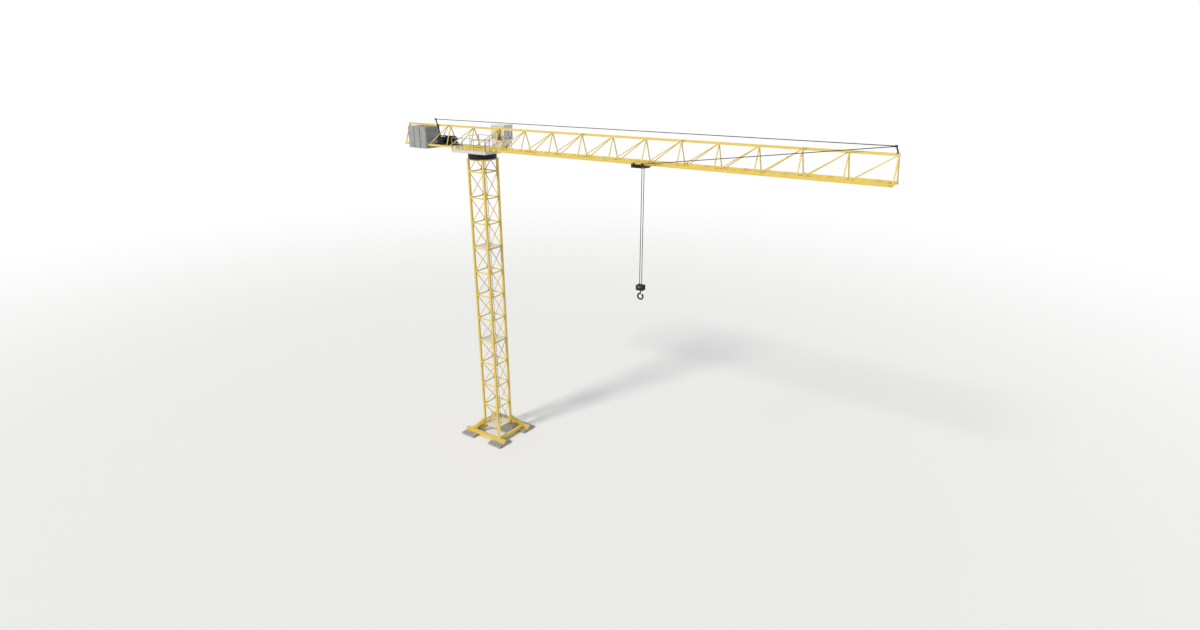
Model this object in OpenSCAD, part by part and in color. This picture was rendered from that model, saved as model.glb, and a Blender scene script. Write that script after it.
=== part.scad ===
// Flat-top tower crane at half the size of the real one.
// The jib runs along +X and Z is up. The mast's axis passes through the origin,
// which lies level with the underside of the footings.

/* [Footings and base frame] */
// Width of each square footing
footing_w = 900; // [700:10:960]
// Thickness of the footings
footing_h = 110; // [80:5:160]
// Distance between the base frame's beams, centre to centre
base_span = 2000; // [1900:10:2200]
// Width and height of the base frame's beams
beam_w = 180; // [140:5:220]
// How far the long beams run past the short ones
beam_run = 430; // [400:10:600]
// Thickness of the inclined struts between the mast and the base frame
strut_w = 170; // [140:5:190]

/* [Mast] */
// Width of the mast between the centres of its legs
mast_w = 1000; // [960:10:1040]
// Height of the underside of the mast's legs
mast_foot_z = 475; // [440:5:600]
// Height over the ground at which the base struts end on the legs
strut_top_z = 890; // [820:10:960]
// Thickness of the square legs
leg_w = 100; // [84:2:110]
// Thickness of the horizontal rails
rail_w = 50; // [40:2:64]
// Thickness of the diagonal braces
brace_d = 42; // [30:2:56]
// Height of one bay
bay_h = 1287; // [1100:1:1400]
// Bays in each mast section
section_bays = 4; // [3:1:5]
// Height of the short bay under the slewing ring
short_bay_h = 638; // [500:1:800]
// Side of the square collar at each end of a leg
collar_w = 128; // [122:2:140]
// Thickness of these collars
collar_t = 18; // [10:1:24]

/* [Mast decks] */
// Thickness of the decks inside the mast
deck_t = 40; // [30:1:46]
// Gap between a deck and the legs' collars
deck_gap = 24; // [20:1:30]

/* [Slewing ring and turret] */
// Outer radius of the slewing ring
ring_r = 700; // [680:5:730]
// Width of the ring's section
ring_w = 150; // [120:5:180]
// Height of each half of the ring
ring_h = 112; // [90:1:130]
// Thickness of the plate that closes the mast's top
cap_t = 25; // [15:1:40]
// Running gap between pieces that turn on each other
run_gap = 0.3; // [0.2:0.1:0.4]
// Height of the turret between the ring and the platform
turret_h = 60; // [50:2:100]
// Radius of the turret
turret_r = 600; // [570:5:640]

/* [Slewing platform] */
// Distance from the slewing axis to the platform's rear edge
platform_back = 1310; // [1200:10:1400]
// Distance from the slewing axis to the platform's front edge
platform_front = 970; // [900:10:1050]
// Distance to the platform's edge on the side without the cab
platform_side = 800; // [720:10:900]
// Distance from the cab's outer side to the platform's edge
cab_margin = 42; // [38:1:80]
// Thickness of the platform
platform_t = 150; // [120:5:170]
// Height of the handrail above the platform
handrail_h = 550; // [500:10:620]
// Thickness of the handrail's tubes
handrail_d = 24; // [16:1:34]
// Gap between the handrails and the truss that passes between them
handrail_gap = 110; // [90:5:140]

/* [Truss] */
// Half of the distance between the bottom chords' centres
truss_half_w = 365; // [350:5:380]
// Height of the truss between its chords' centres
truss_h = 970; // [930:5:1010]
// Thickness of the square chords
chord_w = 90; // [78:2:100]
// Thickness of the legs of each triangular frame
frame_d = 54; // [40:2:64]
// Thickness of the side diagonals
diagonal_d = 46; // [36:2:56]
// Distance from the slewing axis to the rear frame of the length over the mast
head_reach = 2089; // [2050:1:2120]
// Distance from the slewing axis to the last frame of the jib
jib_reach = 19218; // [18900:1:19600]
// Distance from a frame to the joint between two lengths of the truss
splice_l = 90; // [75:5:110]
// Distance from a joint to the foot of the next diagonal
diagonal_in = 70; // [50:5:120]
// How far the chords run past the last frame
chord_end = 30; // [27:1:50]
// Width of the runway flange outside each bottom chord
runway_w = 60; // [52:2:70]
// Thickness of the runway flange
runway_t = 14; // [10:1:18]

/* [Counter-jib] */
// Distance from the rear of the ballast to the last frame of the counter-jib
ballast_end = 392; // [360:1:430]
// Distance from the slewing axis to the front of the ballast
ballast_front = 3450; // [3400:10:3500]
// Length of each ballast slab along the counter-jib
ballast_l = 432; // [380:1:450]
// Width of the ballast slabs
ballast_w = 1000; // [940:10:1100]
// Height of the ballast slabs
ballast_h = 1070; // [900:5:1080]
// How far the slabs reach below the bottom chords' centres
ballast_drop = 195; // [160:5:240]
// Gap between neighbouring slabs
ballast_gap = 6; // [5:1:12]
// Chamfer of the slabs' upright edges
ballast_chamfer = 18; // [8:1:28]
// Side gap between a slab's notch and the chord that it hangs on
notch_gap = 10; // [5:1:16]

/* [Winch] */
// Radius of the drum's barrel
drum_r = 150; // [130:5:160]
// Radius of the drum's flanges
flange_r = 190; // [175:5:200]
// Length of the drum over its flanges
drum_l = 450; // [400:5:460]
// Gap between the drum and its stands
drum_gap = 5; // [5:1:8]
// Half of the width of each eight-sided stand
stand_r = 205; // [200:1:215]
// Height of the winch's cross members on the chords
winch_base_h = 50; // [40:2:60]
// Length of the foot of each stand
stand_foot_l = 480; // [460:5:500]
// Width of the cross members under the stands and the motor
cross_member_w = 60; // [50:2:66]
// Radius of the drum's shaft
shaft_r = 25; // [15:1:30]
// Distance from the rear frame over the mast back to the end of the motor
motor_back = 241; // [220:1:260]
// Length of the motor and gearbox
motor_l = 460; // [420:5:480]
// Height of the motor and gearbox
motor_h = 420; // [380:5:440]
// Width of the motor and gearbox
motor_w = 270; // [230:5:276]

/* [Cab] */
// Distance from the slewing axis to the cab's rear wall
cab_x = 206; // [180:2:240]
// Distance from the slewing axis to the cab's inner side
cab_y = 500; // [490:2:510]
// Length of the cab at its roof
cab_l = 841; // [780:1:880]
// Length of the cab at its floor
cab_floor_l = 560; // [460:5:640]
// Width of the cab
cab_w = 608; // [560:1:630]
// Height of the cab over its roof
cab_h = 1077; // [1000:1:1140]
// Height of the frame that the cab stands on
cab_base_h = 60; // [50:2:90]
// Thickness of the cab's walls
cab_wall = 30; // [20:1:40]
// Thickness of the cab's roof
cab_roof_t = 60; // [40:2:80]
// Thickness of the window panes
pane_t = 8; // [5:1:12]

/* [Posts and ropes] */
// Thickness of the ropes
rope_d = 32; // [20:1:34]
// Thickness of the posts that carry the ropes
post_w = 60; // [40:2:64]
// Height of the rear post's head above the top chord's centre
rear_post_rise = 300; // [240:5:340]
// Height of the tip post's head above the top chord's centre
tip_post_rise = 275; // [220:5:320]
// How far the rear post's head stands behind its foot
rear_post_lean = 259; // [220:1:290]
// How far the tip post's head stands behind its foot
tip_post_lean = 85; // [70:1:100]
// Distance of the rear post beside the top chord's centre
rear_post_y = 112; // [106:2:124]
// Width of the head on each post
post_head = 70; // [60:2:76]

/* [Trolley] */
// Distance from the slewing axis to the trolley's middle
trolley_x = 9262; // [9000:1:9600]
// Length of the trolley
trolley_l = 600; // [560:5:640]
// Radius of the trolley's wheels
wheel_r = 34; // [30:1:38]
// Distance between the axles of the trolley
wheel_base = 400; // [360:5:440]
// Thickness of the trolley's plates
plate_t = 14; // [10:1:18]
// Gap between the trolley and the runway
trolley_gap = 6; // [5:1:9]
// Height of the trolley's cross beams
trolley_beam_h = 80; // [60:2:100]
// Gap between the runway and the trolley's cross beams
trolley_drop = 34; // [24:2:60]

/* [Hook block] */
// Distance between the two falls of the rope
fall_gap = 105; // [96:1:120]
// Height of the hook block's underside at rest
block_z = 10170; // [9800:10:10500]
// Length of the hook block
block_l = 340; // [300:5:380]
// Width of the hook block
block_w = 270; // [220:5:300]
// Height of the hook block
block_h = 230; // [225:5:280]
// Width of the sheaves
sheave_w = 46; // [44:1:52]
// Gap at each side of a sheave
sheave_gap = 5; // [4:1:8]
// Radius of the hook's centre line
hook_r = 133; // [120:1:150]
// Thickness of the hook
hook_d = 74; // [60:2:84]
// Radius of the hook's shank
shank_r = 24; // [18:1:30]
// Distance from the hook block's underside down to the middle of the hook's bowl
hook_drop = 302; // [280:1:320]

/* [Hidden] */

mast_color = "gold";
deck_color = "whitesmoke";
black_color = "#202020";
concrete_color = "silver";

mast_half = mast_w / 2;
base_half = base_span / 2;
beam_top = footing_h + beam_w;

// Mast levels, each section standing on the one below.
section_h = section_bays * bay_h;
sections = 3;
mast_top_z = mast_foot_z + (sections * section_bays - 1) * bay_h + short_bay_h;
function section_z(i) = mast_foot_z + i * section_h;

// Heights from the slewing ring up to the chords.
ring_z = mast_top_z + cap_t;
turret_z = ring_z + 2 * ring_h + run_gap;
platform_z = turret_z + turret_h;
platform_top = platform_z + platform_t;
platform_cab_side = cab_y + cab_w + cab_margin;
truss_z = platform_top + chord_w / 2;
top_z = truss_z + truss_h;
chord_top = truss_z + chord_w / 2;
runway_z = truss_z - chord_w / 2;

// Distance from the slewing axis to the last frame of the counter-jib.
counter_reach = ballast_front + 3 * ballast_l + 2 * ballast_gap + ballast_end;

// Frames of the truss, numbered from the rear of the head to the tip.
panels = 13;
panel = (head_reach + jib_reach) / panels;
joints = [2, 5, 8, 11];
function frame_x(i) = i * panel - head_reach;
head_back = frame_x(0) - splice_l;

// A straight bar of n sides between two points.
module bar(p, q, d, n = 6) {
    v = q - p;
    length = norm(v);
    translate(p)
        rotate([0, acos(v.z / length), atan2(v.y, v.x)])
            rotate([0, 0, 180 / n])
                cylinder(h = length, d = d, $fn = n);
}

// A box given by its lowest and highest corners.
module block(low, high) {
    translate(low)
        cube(high - low);
}

// The four corners of a square, once each.
module corners(half) {
    for (sx = [-1, 1], sy = [-1, 1])
        translate([sx * half, sy * half, 0])
            children();
}

module footings() {
    color(concrete_color)
        corners(base_half)
            block([-footing_w / 2, -footing_w / 2, 0], [footing_w / 2, footing_w / 2, footing_h]);
}

// Two long beams along X, and two short ones between them.
module base_frame() {
    long = base_half + beam_run;
    inner = base_half - beam_w / 2;
    color(mast_color)
        union() {
            for (s = [-1, 1]) {
                block([-long, s * base_half - beam_w / 2, footing_h],
                      [long, s * base_half + beam_w / 2, beam_top]);
                block([s * base_half - beam_w / 2, -inner - 1, footing_h],
                      [s * base_half + beam_w / 2, inner + 1, beam_top]);
            }
        }
}

// An inclined strut from a shoe on the base frame, notched round the mast's leg.
module base_strut() {
    shoe = 0.9 * beam_w;
    foot = [base_half - 0.22 * beam_w, base_half - 0.22 * beam_w, beam_top];
    head = [mast_half, mast_half, strut_top_z - 0.25 * strut_w];
    reach = 0.4 * (foot - head);
    outside = mast_half + leg_w / 2;
    edge = base_half + beam_w / 2;
    union() {
        difference() {
            intersection() {
                bar(head - reach, foot + reach, strut_w * sqrt(2), 4);
                block([0, 0, beam_top], [edge, edge, strut_top_z]);
            }
            block([-edge, -edge, 0], [outside, outside, 2 * strut_top_z]);
        }
        block([base_half - shoe / 2, base_half - shoe / 2, beam_top],
              [base_half + shoe / 2, base_half + shoe / 2, beam_top + 22]);
    }
}

module base_struts() {
    color(mast_color)
        for (a = [0 : 90 : 270])
            rotate([0, 0, a])
                base_strut();
}

// One side of a mast section: its rails and the braces between them.
// Seen from outside, each brace rises to the right.
module mast_side(z0, bays, last_h) {
    for (k = [0 : bays - 1]) {
        z = z0 + k * bay_h + rail_w / 2;
        translate([0, -mast_half, z])
            cube([mast_w, rail_w, rail_w], center = true);
        bar([-mast_half, -mast_half, z], [mast_half, -mast_half, z + bay_h], brace_d);
    }
    if (last_h > 0) {
        z = z0 + bays * bay_h + rail_w / 2;
        top = mast_top_z - rail_w / 2;
        for (h = [z, top])
            translate([0, -mast_half, h])
                cube([mast_w, rail_w, rail_w], center = true);
        bar([-mast_half, -mast_half, z], [0, -mast_half, top], brace_d);
    }
}

// One mast section: four legs with collars, and four sides.
module mast_section(i, bays, last_h = 0) {
    z0 = section_z(i);
    z1 = z0 + bays * bay_h + last_h;
    color(mast_color)
        intersection() {
            union() {
                corners(mast_half) {
                    block([-leg_w / 2, -leg_w / 2, z0], [leg_w / 2, leg_w / 2, z1]);
                    for (z = [z0, z1 - collar_t])
                        block([-collar_w / 2, -collar_w / 2, z],
                              [collar_w / 2, collar_w / 2, z + collar_t]);
                }
                for (a = [0 : 90 : 270])
                    rotate([0, 0, a])
                        mast_side(z0, bays, last_h);
            }
            block([-mast_w, -mast_w, z0], [mast_w, mast_w, z1]);
        }
}

module mast_lower() {
    mast_section(0, section_bays);
}

module mast_middle() {
    mast_section(1, section_bays);
}

module mast_upper() {
    mast_section(2, section_bays - 1, short_bay_h);
}

// A deck that rests on the rails, notched round the legs' collars.
module mast_deck(i) {
    half = mast_half + 0.3 * rail_w;
    notch = mast_half - max(leg_w, collar_w) / 2 - deck_gap;
    z = section_z(i) + rail_w;
    color(deck_color)
        difference() {
            block([-half, -half, z], [half, half, z + deck_t]);
            corners(notch + half)
                cube([2 * half, 2 * half, 4 * deck_t + 2 * z], center = true);
        }
}

module deck_lower() {
    mast_deck(0);
}

module deck_middle() {
    mast_deck(1);
}

module deck_upper() {
    mast_deck(2);
}

// A plate on the mast's top, open in the middle.
module mast_cap() {
    half = mast_half + collar_w / 2;
    color(mast_color)
        difference() {
            block([-half, -half, mast_top_z], [half, half, ring_z]);
            translate([0, 0, mast_top_z - 1])
                cylinder(r = ring_r - ring_w - 60, h = cap_t + 2, $fn = 64);
        }
}

module ring(z) {
    translate([0, 0, z])
        difference() {
            cylinder(r = ring_r, h = ring_h, $fn = 96);
            translate([0, 0, -1])
                cylinder(r = ring_r - ring_w, h = ring_h + 2, $fn = 96);
        }
}

module ring_lower() {
    color(black_color)
        ring(ring_z);
}

module ring_upper() {
    color(black_color)
        ring(ring_z + ring_h + run_gap);
}

module turret() {
    color(mast_color)
        translate([0, 0, turret_z])
            difference() {
                cylinder(r = turret_r, h = turret_h, $fn = 64);
                translate([0, 0, -1])
                    cylinder(r = turret_r - 40, h = turret_h - 29, $fn = 64);
            }
}

module platform() {
    color(deck_color)
        block([-platform_back, -platform_side, platform_z],
              [platform_front, platform_cab_side, platform_top]);
}

// One stretch of handrail: posts, a top rail and a knee rail.
module handrail(p, q, posts) {
    for (k = [0 : posts - 1]) {
        foot = p + (q - p) * k / (posts - 1);
        translate(foot)
            cylinder(d = handrail_d, h = handrail_h, $fn = 8);
    }
    for (h = [handrail_h, handrail_h / 2])
        bar(p + [0, 0, h], q + [0, 0, h], handrail_d, 8);
}

// Each straight stretch stands by itself, with a post of its own at the corner.
module platform_rails() {
    in = handrail_d;
    back = -platform_back + in;
    front = platform_front - in;
    side = -platform_side + in;
    far = platform_cab_side - in;
    near_end = -truss_half_w - handrail_gap;
    far_end = truss_half_w + handrail_gap;
    corner = 2 * handrail_d;
    z = platform_top;
    color("grey") {
        handrail([back, side, z], [front, side, z], 4);
        handrail([back, side + corner, z], [back, near_end, z], 2);
        handrail([front, side + corner, z], [front, near_end, z], 2);
        handrail([back, far, z], [front, far, z], 4);
        handrail([back, far - corner, z], [back, far_end, z], 2);
    }
}

// The three chords from x0 to x1.
module chords(x0, x1) {
    for (y = [-truss_half_w, truss_half_w])
        block([x0, y - chord_w / 2, truss_z - chord_w / 2],
              [x1, y + chord_w / 2, truss_z + chord_w / 2]);
    block([x0, -chord_w / 2, top_z - chord_w / 2], [x1, chord_w / 2, top_z + chord_w / 2]);
}

// A triangular frame across the truss.
module cross_frame(x) {
    for (s = [-1, 1])
        bar([x, 0, top_z], [x, s * truss_half_w, truss_z], frame_d);
    bar([x, -truss_half_w, truss_z], [x, truss_half_w, truss_z], diagonal_d);
}

// The pair of side diagonals from the bottom chords at x0 up to the top chord at x1.
module side_diagonals(x0, x1) {
    for (s = [-1, 1])
        bar([x0, s * truss_half_w, truss_z], [x1, 0, top_z], diagonal_d);
}

module panel_diagonals(i) {
    side_diagonals(frame_x(i) + splice_l + diagonal_in, frame_x(i + 1));
}

module runway(x0, x1) {
    for (s = [-1, 1])
        translate([0, s * (truss_half_w + runway_w / 2), 0])
            block([x0, -(chord_w + runway_w) / 2, runway_z - runway_t],
                  [x1, (chord_w + runway_w) / 2, runway_z]);
}

// One length of the jib, from the joint after frame a to the joint after frame b.
module jib_length(a, b) {
    x0 = frame_x(a) + splice_l;
    x1 = b == panels ? frame_x(b) + chord_end : frame_x(b) + splice_l;
    color(mast_color)
        union() {
            chords(x0, x1);
            runway(x0, x1);
            for (i = [a : b - 1]) {
                panel_diagonals(i);
                cross_frame(frame_x(i + 1));
            }
        }
}

module head_truss() {
    color(mast_color)
        union() {
            chords(head_back, frame_x(joints[0]) + splice_l);
            for (i = [0 : joints[0]])
                cross_frame(frame_x(i));
            for (i = [0 : joints[0] - 1])
                panel_diagonals(i);
        }
}

module jib_root() {
    jib_length(joints[0], joints[1]);
}

module jib_inner() {
    jib_length(joints[1], joints[2]);
}

module jib_outer() {
    jib_length(joints[2], joints[3]);
}

module jib_tip() {
    jib_length(joints[3], panels);
}

module counter_jib() {
    foot_x = -ballast_front + 90;
    color(mast_color)
        union() {
            chords(-counter_reach - chord_end, head_back);
            cross_frame(-counter_reach);
            side_diagonals(foot_x, head_back - splice_l);
            bar([foot_x, -truss_half_w, truss_z], [foot_x, truss_half_w, truss_z], diagonal_d);
        }
}

// A concrete slab that hangs on the bottom chords by two notches.
module ballast_slab(i) {
    x1 = -ballast_front - i * (ballast_l + ballast_gap);
    z0 = truss_z - ballast_drop;
    notch = chord_w / 2 + notch_gap;
    c = ballast_chamfer;
    l = ballast_l;
    h = ballast_w / 2;
    plan = [[0, c - h], [0, h - c], [-c, h], [c - l, h], [-l, h - c], [-l, c - h], [c - l, -h], [-c, -h]];
    color(concrete_color)
        difference() {
            translate([x1, 0, z0])
                linear_extrude(ballast_h)
                    polygon(plan);
            for (s = [-1, 1])
                block([x1 - ballast_l - 1, s * truss_half_w - notch, z0 - 1],
                      [x1 + 1, s * truss_half_w + notch, chord_top]);
        }
}

module ballast_front_slab() {
    ballast_slab(0);
}

module ballast_middle_slab() {
    ballast_slab(1);
}

module ballast_rear_slab() {
    ballast_slab(2);
}

// The drum stands between the motor and the ballast, a fifth of the spare length from the motor.
winch_spare = ballast_front - head_reach - motor_back - 2 * flange_r;
drum_x = head_reach + motor_back + 0.19 * winch_spare + flange_r;
drum_z = chord_top + flange_r + 10;
stand_t = 20;
stand_y = drum_l / 2 + drum_gap;
yoke_z = drum_z + flange_r + 6;
yoke_top = yoke_z + 30;
yoke_back = -drum_x - 125;
yoke_front = -drum_x - 60;

// An eight-sided stand with a foot, and a horn that carries the yoke.
module winch_stand(y0) {
    foot = chord_top - drum_z;
    translate([-drum_x, y0 + stand_t, drum_z])
        rotate([90, 0, 0])
            linear_extrude(stand_t)
                union() {
                    rotate(22.5)
                        circle(r = stand_r / cos(22.5), $fn = 8);
                    translate([yoke_back + drum_x, 0])
                        square([yoke_front - yoke_back, yoke_z - drum_z]);
                    translate([-stand_foot_l / 2, foot])
                        square([stand_foot_l, winch_base_h]);
                }
}

module winch_frame() {
    reach = truss_half_w + chord_w / 2;
    color(black_color)
        difference() {
            union() {
                for (x = [-drum_x - stand_foot_l / 2, -drum_x + stand_foot_l / 2 - cross_member_w])
                    block([x, -reach, chord_top], [x + cross_member_w, reach, chord_top + winch_base_h]);
                winch_stand(-stand_y - stand_t);
                winch_stand(stand_y);
                block([yoke_back, -stand_y - stand_t, yoke_z], [yoke_front, stand_y + stand_t, yoke_top]);
            }
            translate([-drum_x, -drum_l, drum_z])
                rotate([-90, 0, 0])
                    cylinder(r = shaft_r + run_gap, h = 2 * drum_l, $fn = 32);
        }
}

module winch_drum() {
    color("dimgrey")
        translate([-drum_x, 0, drum_z])
            rotate([90, 0, 0])
                union() {
                    cylinder(r = drum_r, h = drum_l - 20, center = true, $fn = 48);
                    for (s = [-1, 1])
                        translate([0, 0, s * (drum_l / 2 - 8)])
                            cylinder(r = flange_r, h = 16, center = true, $fn = 48);
                    cylinder(r = shaft_r, h = drum_l + 2 * (drum_gap + stand_t), center = true, $fn = 32);
                }
}

// A rounded housing along X that ends in a cylinder about Y.
module round_end(x, z, r, length, w) {
    block([x - length, -w / 2, z - r], [x, w / 2, z + r]);
    translate([x, 0, z])
        rotate([90, 0, 0])
            cylinder(r = r, h = w, center = true, $fn = 32);
}

module winch_motor() {
    x0 = -head_reach - motor_back;
    x1 = x0 + motor_l;
    reach = truss_half_w + chord_w / 2;
    color(black_color)
        union() {
            for (x = [x0, x0 + 0.63 * motor_l])
                block([x, -reach, chord_top], [x + cross_member_w, reach, chord_top + 24]);
            block([x0, -motor_w / 2, chord_top], [x1, motor_w / 2, chord_top + motor_h]);
            block([x0, -0.44 * motor_w, chord_top], [x1 + 170, 0.44 * motor_w, chord_top + 30]);
            round_end(x1 + 70, chord_top + 0.72 * motor_h, 60, 90, 0.8 * motor_w);
            round_end(x1 + 95, chord_top + 98, 70, 110, 0.7 * motor_w);
            translate([x1 - 80, 0, chord_top + 61])
                rotate([90, 0, 0])
                    cylinder(r = 33, h = 1.2 * motor_w, center = true, $fn = 24);
        }
}

// Cab profile in the plane of X and height, seen from its side.
function cab_profile(grow) = [
    [cab_x - grow, -grow],
    [cab_x + cab_floor_l + grow, -grow],
    [cab_x + cab_l + grow, 0.38 * cab_h],
    [cab_x + cab_l + grow, cab_h - cab_roof_t + grow],
    [cab_x - grow, cab_h - cab_roof_t + grow]
];
cab_z = platform_top + cab_base_h;

module cab_solid(grow) {
    translate([0, cab_y + cab_w + grow, cab_z])
        rotate([90, 0, 0])
            linear_extrude(cab_w + 2 * grow)
                polygon(cab_profile(grow));
}

module cab_base() {
    inset = 40;
    color(deck_color)
        difference() {
            block([cab_x + inset, cab_y + inset, platform_top],
                  [cab_x + cab_floor_l - inset, cab_y + cab_w - inset, cab_z]);
            block([cab_x + 2 * inset, cab_y + 2 * inset, platform_top - 1],
                  [cab_x + cab_floor_l - 2 * inset, cab_y + cab_w - 2 * inset, cab_z - 20]);
        }
}

// The windows in the front and in both sides, with walls of the given thickness.
module cab_windows(t) {
    front = cab_x + cab_l;
    z0 = cab_z + 0.43 * cab_h;
    z1 = cab_z + 0.8 * cab_h;
    side_z0 = cab_z + 0.35 * cab_h;
    far = cab_y + cab_w;
    block([front - t, cab_y + 60, z0], [front, far - 60, z1]);
    for (y = [cab_y, far - t])
        block([cab_x + 0.46 * cab_l, y, side_z0], [cab_x + 0.76 * cab_l, y + t, z1]);
}

module cab_shell() {
    color(deck_color)
        difference() {
            cab_solid(0);
            cab_solid(-cab_wall);
            cab_windows(2 * cab_wall);
        }
}

module cab_roof() {
    over = 20;
    color(deck_color)
        block([cab_x - over, cab_y - over, cab_z + cab_h - cab_roof_t],
              [cab_x + cab_l + over, cab_y + cab_w + over, cab_z + cab_h]);
}

module cab_panes() {
    color("steelblue")
        cab_windows(pane_t);
}

// Feet and heads of the two posts that carry the ropes.
rear_foot = [(yoke_back + yoke_front) / 2, -rear_post_y, yoke_top];
rear_head = [rear_foot.x - rear_post_lean, -rear_post_y, top_z + rear_post_rise];
tip_foot = [jib_reach - 35, 0, top_z + chord_w / 2];
tip_head = [tip_foot.x - tip_post_lean, 0, top_z + tip_post_rise];

module rear_post() {
    tie_x = rear_foot.x + (rear_head.x - rear_foot.x) * (top_z - rear_foot.z) / (rear_head.z - rear_foot.z);
    color(black_color)
        union() {
            intersection() {
                bar(rear_foot + 0.1 * (rear_foot - rear_head), rear_head, post_w, 4);
                block([rear_head.x - post_w, -2 * rear_post_y, rear_foot.z],
                      [rear_foot.x + post_w, 0, rear_head.z]);
            }
            translate(rear_head)
                cube(post_head, center = true);
            block([tie_x - 30, -rear_post_y, top_z - 30], [tie_x + 30, -chord_w / 2, top_z + 30]);
        }
}

// The tip post's head reaches out to one side, where the trolley's rope turns.
module tip_post() {
    color(black_color)
        union() {
            intersection() {
                bar(tip_foot + 0.2 * (tip_foot - tip_head), tip_head, post_w, 4);
                block([tip_head.x - post_w, -post_w, tip_foot.z], [tip_foot.x + post_w, post_w, tip_head.z]);
            }
            block(tip_head - [post_head / 2, 125, post_head / 2], tip_head + post_head / 2 * [1, 1, 1]);
        }
}

// A rope between two points, cut flat where it meets what holds it.
module rope(p, q) {
    intersection() {
        bar(p - [40, 0, 0], q + [40, 0, 0], rope_d, 8);
        block([p.x, -2 * plate_y, 0], [q.x, 2 * plate_y, 2 * top_z]);
    }
}

module top_rope() {
    color(black_color)
        rope(rear_head + [post_head / 2, 0, 0], tip_head - [post_head / 2, 0, 0]);
}

// Trolley, under the jib.
wheel_z = runway_z + wheel_r + run_gap;
plate_y = truss_half_w + chord_w / 2 + runway_w + trolley_gap;
trolley_top = runway_z - runway_t - trolley_drop;
trolley_z = trolley_top - trolley_beam_h;
plate_top = runway_z + 6;
sheave_z = trolley_z - 11;
lug_h = rope_d + 20;
lug_out = 45;

module trolley_frame() {
    cross_w = 70;
    half = trolley_l / 2;
    carrier = sheave_w / 2 + sheave_gap;
    color(black_color)
        translate([trolley_x, 0, 0])
            union() {
                for (s = [-1, 1]) {
                    block([s * (half - cross_w / 2) - cross_w / 2, -plate_y, trolley_z],
                          [s * (half - cross_w / 2) + cross_w / 2, plate_y, trolley_top]);
                    block([-half, s * (carrier + plate_t / 2) - plate_t / 2, sheave_z - 34],
                          [half, s * (carrier + plate_t / 2) + plate_t / 2, trolley_top]);
                    block([-half, s * (plate_y + plate_t / 2) - plate_t / 2, trolley_z - 16],
                          [half, s * (plate_y + plate_t / 2) + plate_t / 2, plate_top]);
                    for (x = [-wheel_base / 2, wheel_base / 2])
                        block([x - 40, s * (plate_y + plate_t / 2) - plate_t / 2, plate_top],
                              [x + 40, s * (plate_y + plate_t / 2) + plate_t / 2, wheel_z + 24]);
                }
                block([half - 50, -plate_y - plate_t - lug_out, plate_top - 35],
                      [half - 20, -plate_y, plate_top + lug_h + 12]);
            }
}

module trolley_wheels() {
    inner = truss_half_w + chord_w / 2 + trolley_gap;
    color("dimgrey")
        for (sx = [-1, 1], sy = [-1, 1])
            translate([trolley_x + sx * wheel_base / 2, sy * inner, wheel_z])
                rotate([-sy * 90, 0, 0]) {
                    union() {
                        cylinder(r = wheel_r, h = 40, $fn = 32);
                        cylinder(r = 14, h = plate_y - inner, $fn = 24);
                    }
                }
}

sheave_r = fall_gap / 2 + 14;

// A grooved sheave about Y, with a pin that ends at the plates beside it.
module sheave() {
    groove = rope_d / 2 + 0.5;
    bed = fall_gap / 2 - rope_d / 2 - run_gap;
    rotate([90, 0, 0])
        union() {
            rotate_extrude($fn = 48)
                difference() {
                    translate([0, -sheave_w / 2])
                        square([sheave_r, sheave_w]);
                    translate([bed, -groove])
                        square([sheave_r, 2 * groove]);
                }
            cylinder(r = 16, h = sheave_w + 2 * sheave_gap, center = true, $fn = 24);
        }
}

module trolley_sheaves() {
    color("dimgrey")
        for (s = [-1, 1])
            translate([trolley_x + s * fall_gap, 0, sheave_z])
                sheave();
}

block_sheave_z = block_z + 150;

module hoist_falls() {
    color(black_color)
        for (s = [-1, 1])
            translate([trolley_x + s * fall_gap / 2, 0, block_sheave_z])
                cylinder(d = rope_d, h = sheave_z - block_sheave_z, $fn = 8);
}

module trolley_rope() {
    start = [trolley_x + trolley_l / 2 - 20, -plate_y - plate_t - lug_out / 2, plate_top + lug_h / 2 + 4];
    color(black_color)
        rope(start, tip_head - [post_head / 2, 90, 10]);
}

module hook_block() {
    slot = sheave_w / 2 + sheave_gap;
    color(black_color)
        translate([trolley_x, 0, block_z])
            difference() {
                block([-block_l / 2, -block_w / 2, 0], [block_l / 2, block_w / 2, block_h]);
                block([-block_l, -slot, 70], [block_l, slot, 2 * block_h]);
                translate([0, 0, -1])
                    cylinder(r = shank_r + run_gap, h = 56, $fn = 32);
            }
}

module block_sheave() {
    color("dimgrey")
        translate([trolley_x, 0, block_sheave_z])
            sheave();
}

hook_z = block_z - hook_drop;
hook_start = 97;
hook_turn = 308;

// A point on the hook's centre line.
function hook_point(a) = [hook_r * cos(a), 0, hook_r * sin(a)];

module hook() {
    color(black_color)
        translate([trolley_x, 0, hook_z])
            union() {
                translate([0, 0, hook_r])
                    cylinder(r = shank_r, h = block_z + 50 - hook_z - hook_r, $fn = 32);
                translate(hook_point(hook_start))
                    sphere(r = hook_d / 2 + 2, $fn = 32);
                translate(hook_point(hook_start + hook_turn))
                    sphere(r = hook_d / 2 - 1, $fn = 32);
                rotate([90, 0, 0])
                    rotate([0, 0, hook_start])
                        rotate_extrude(angle = hook_turn, $fn = 48)
                            translate([hook_r, 0])
                                circle(d = hook_d, $fn = 24);
            }
}

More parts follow.
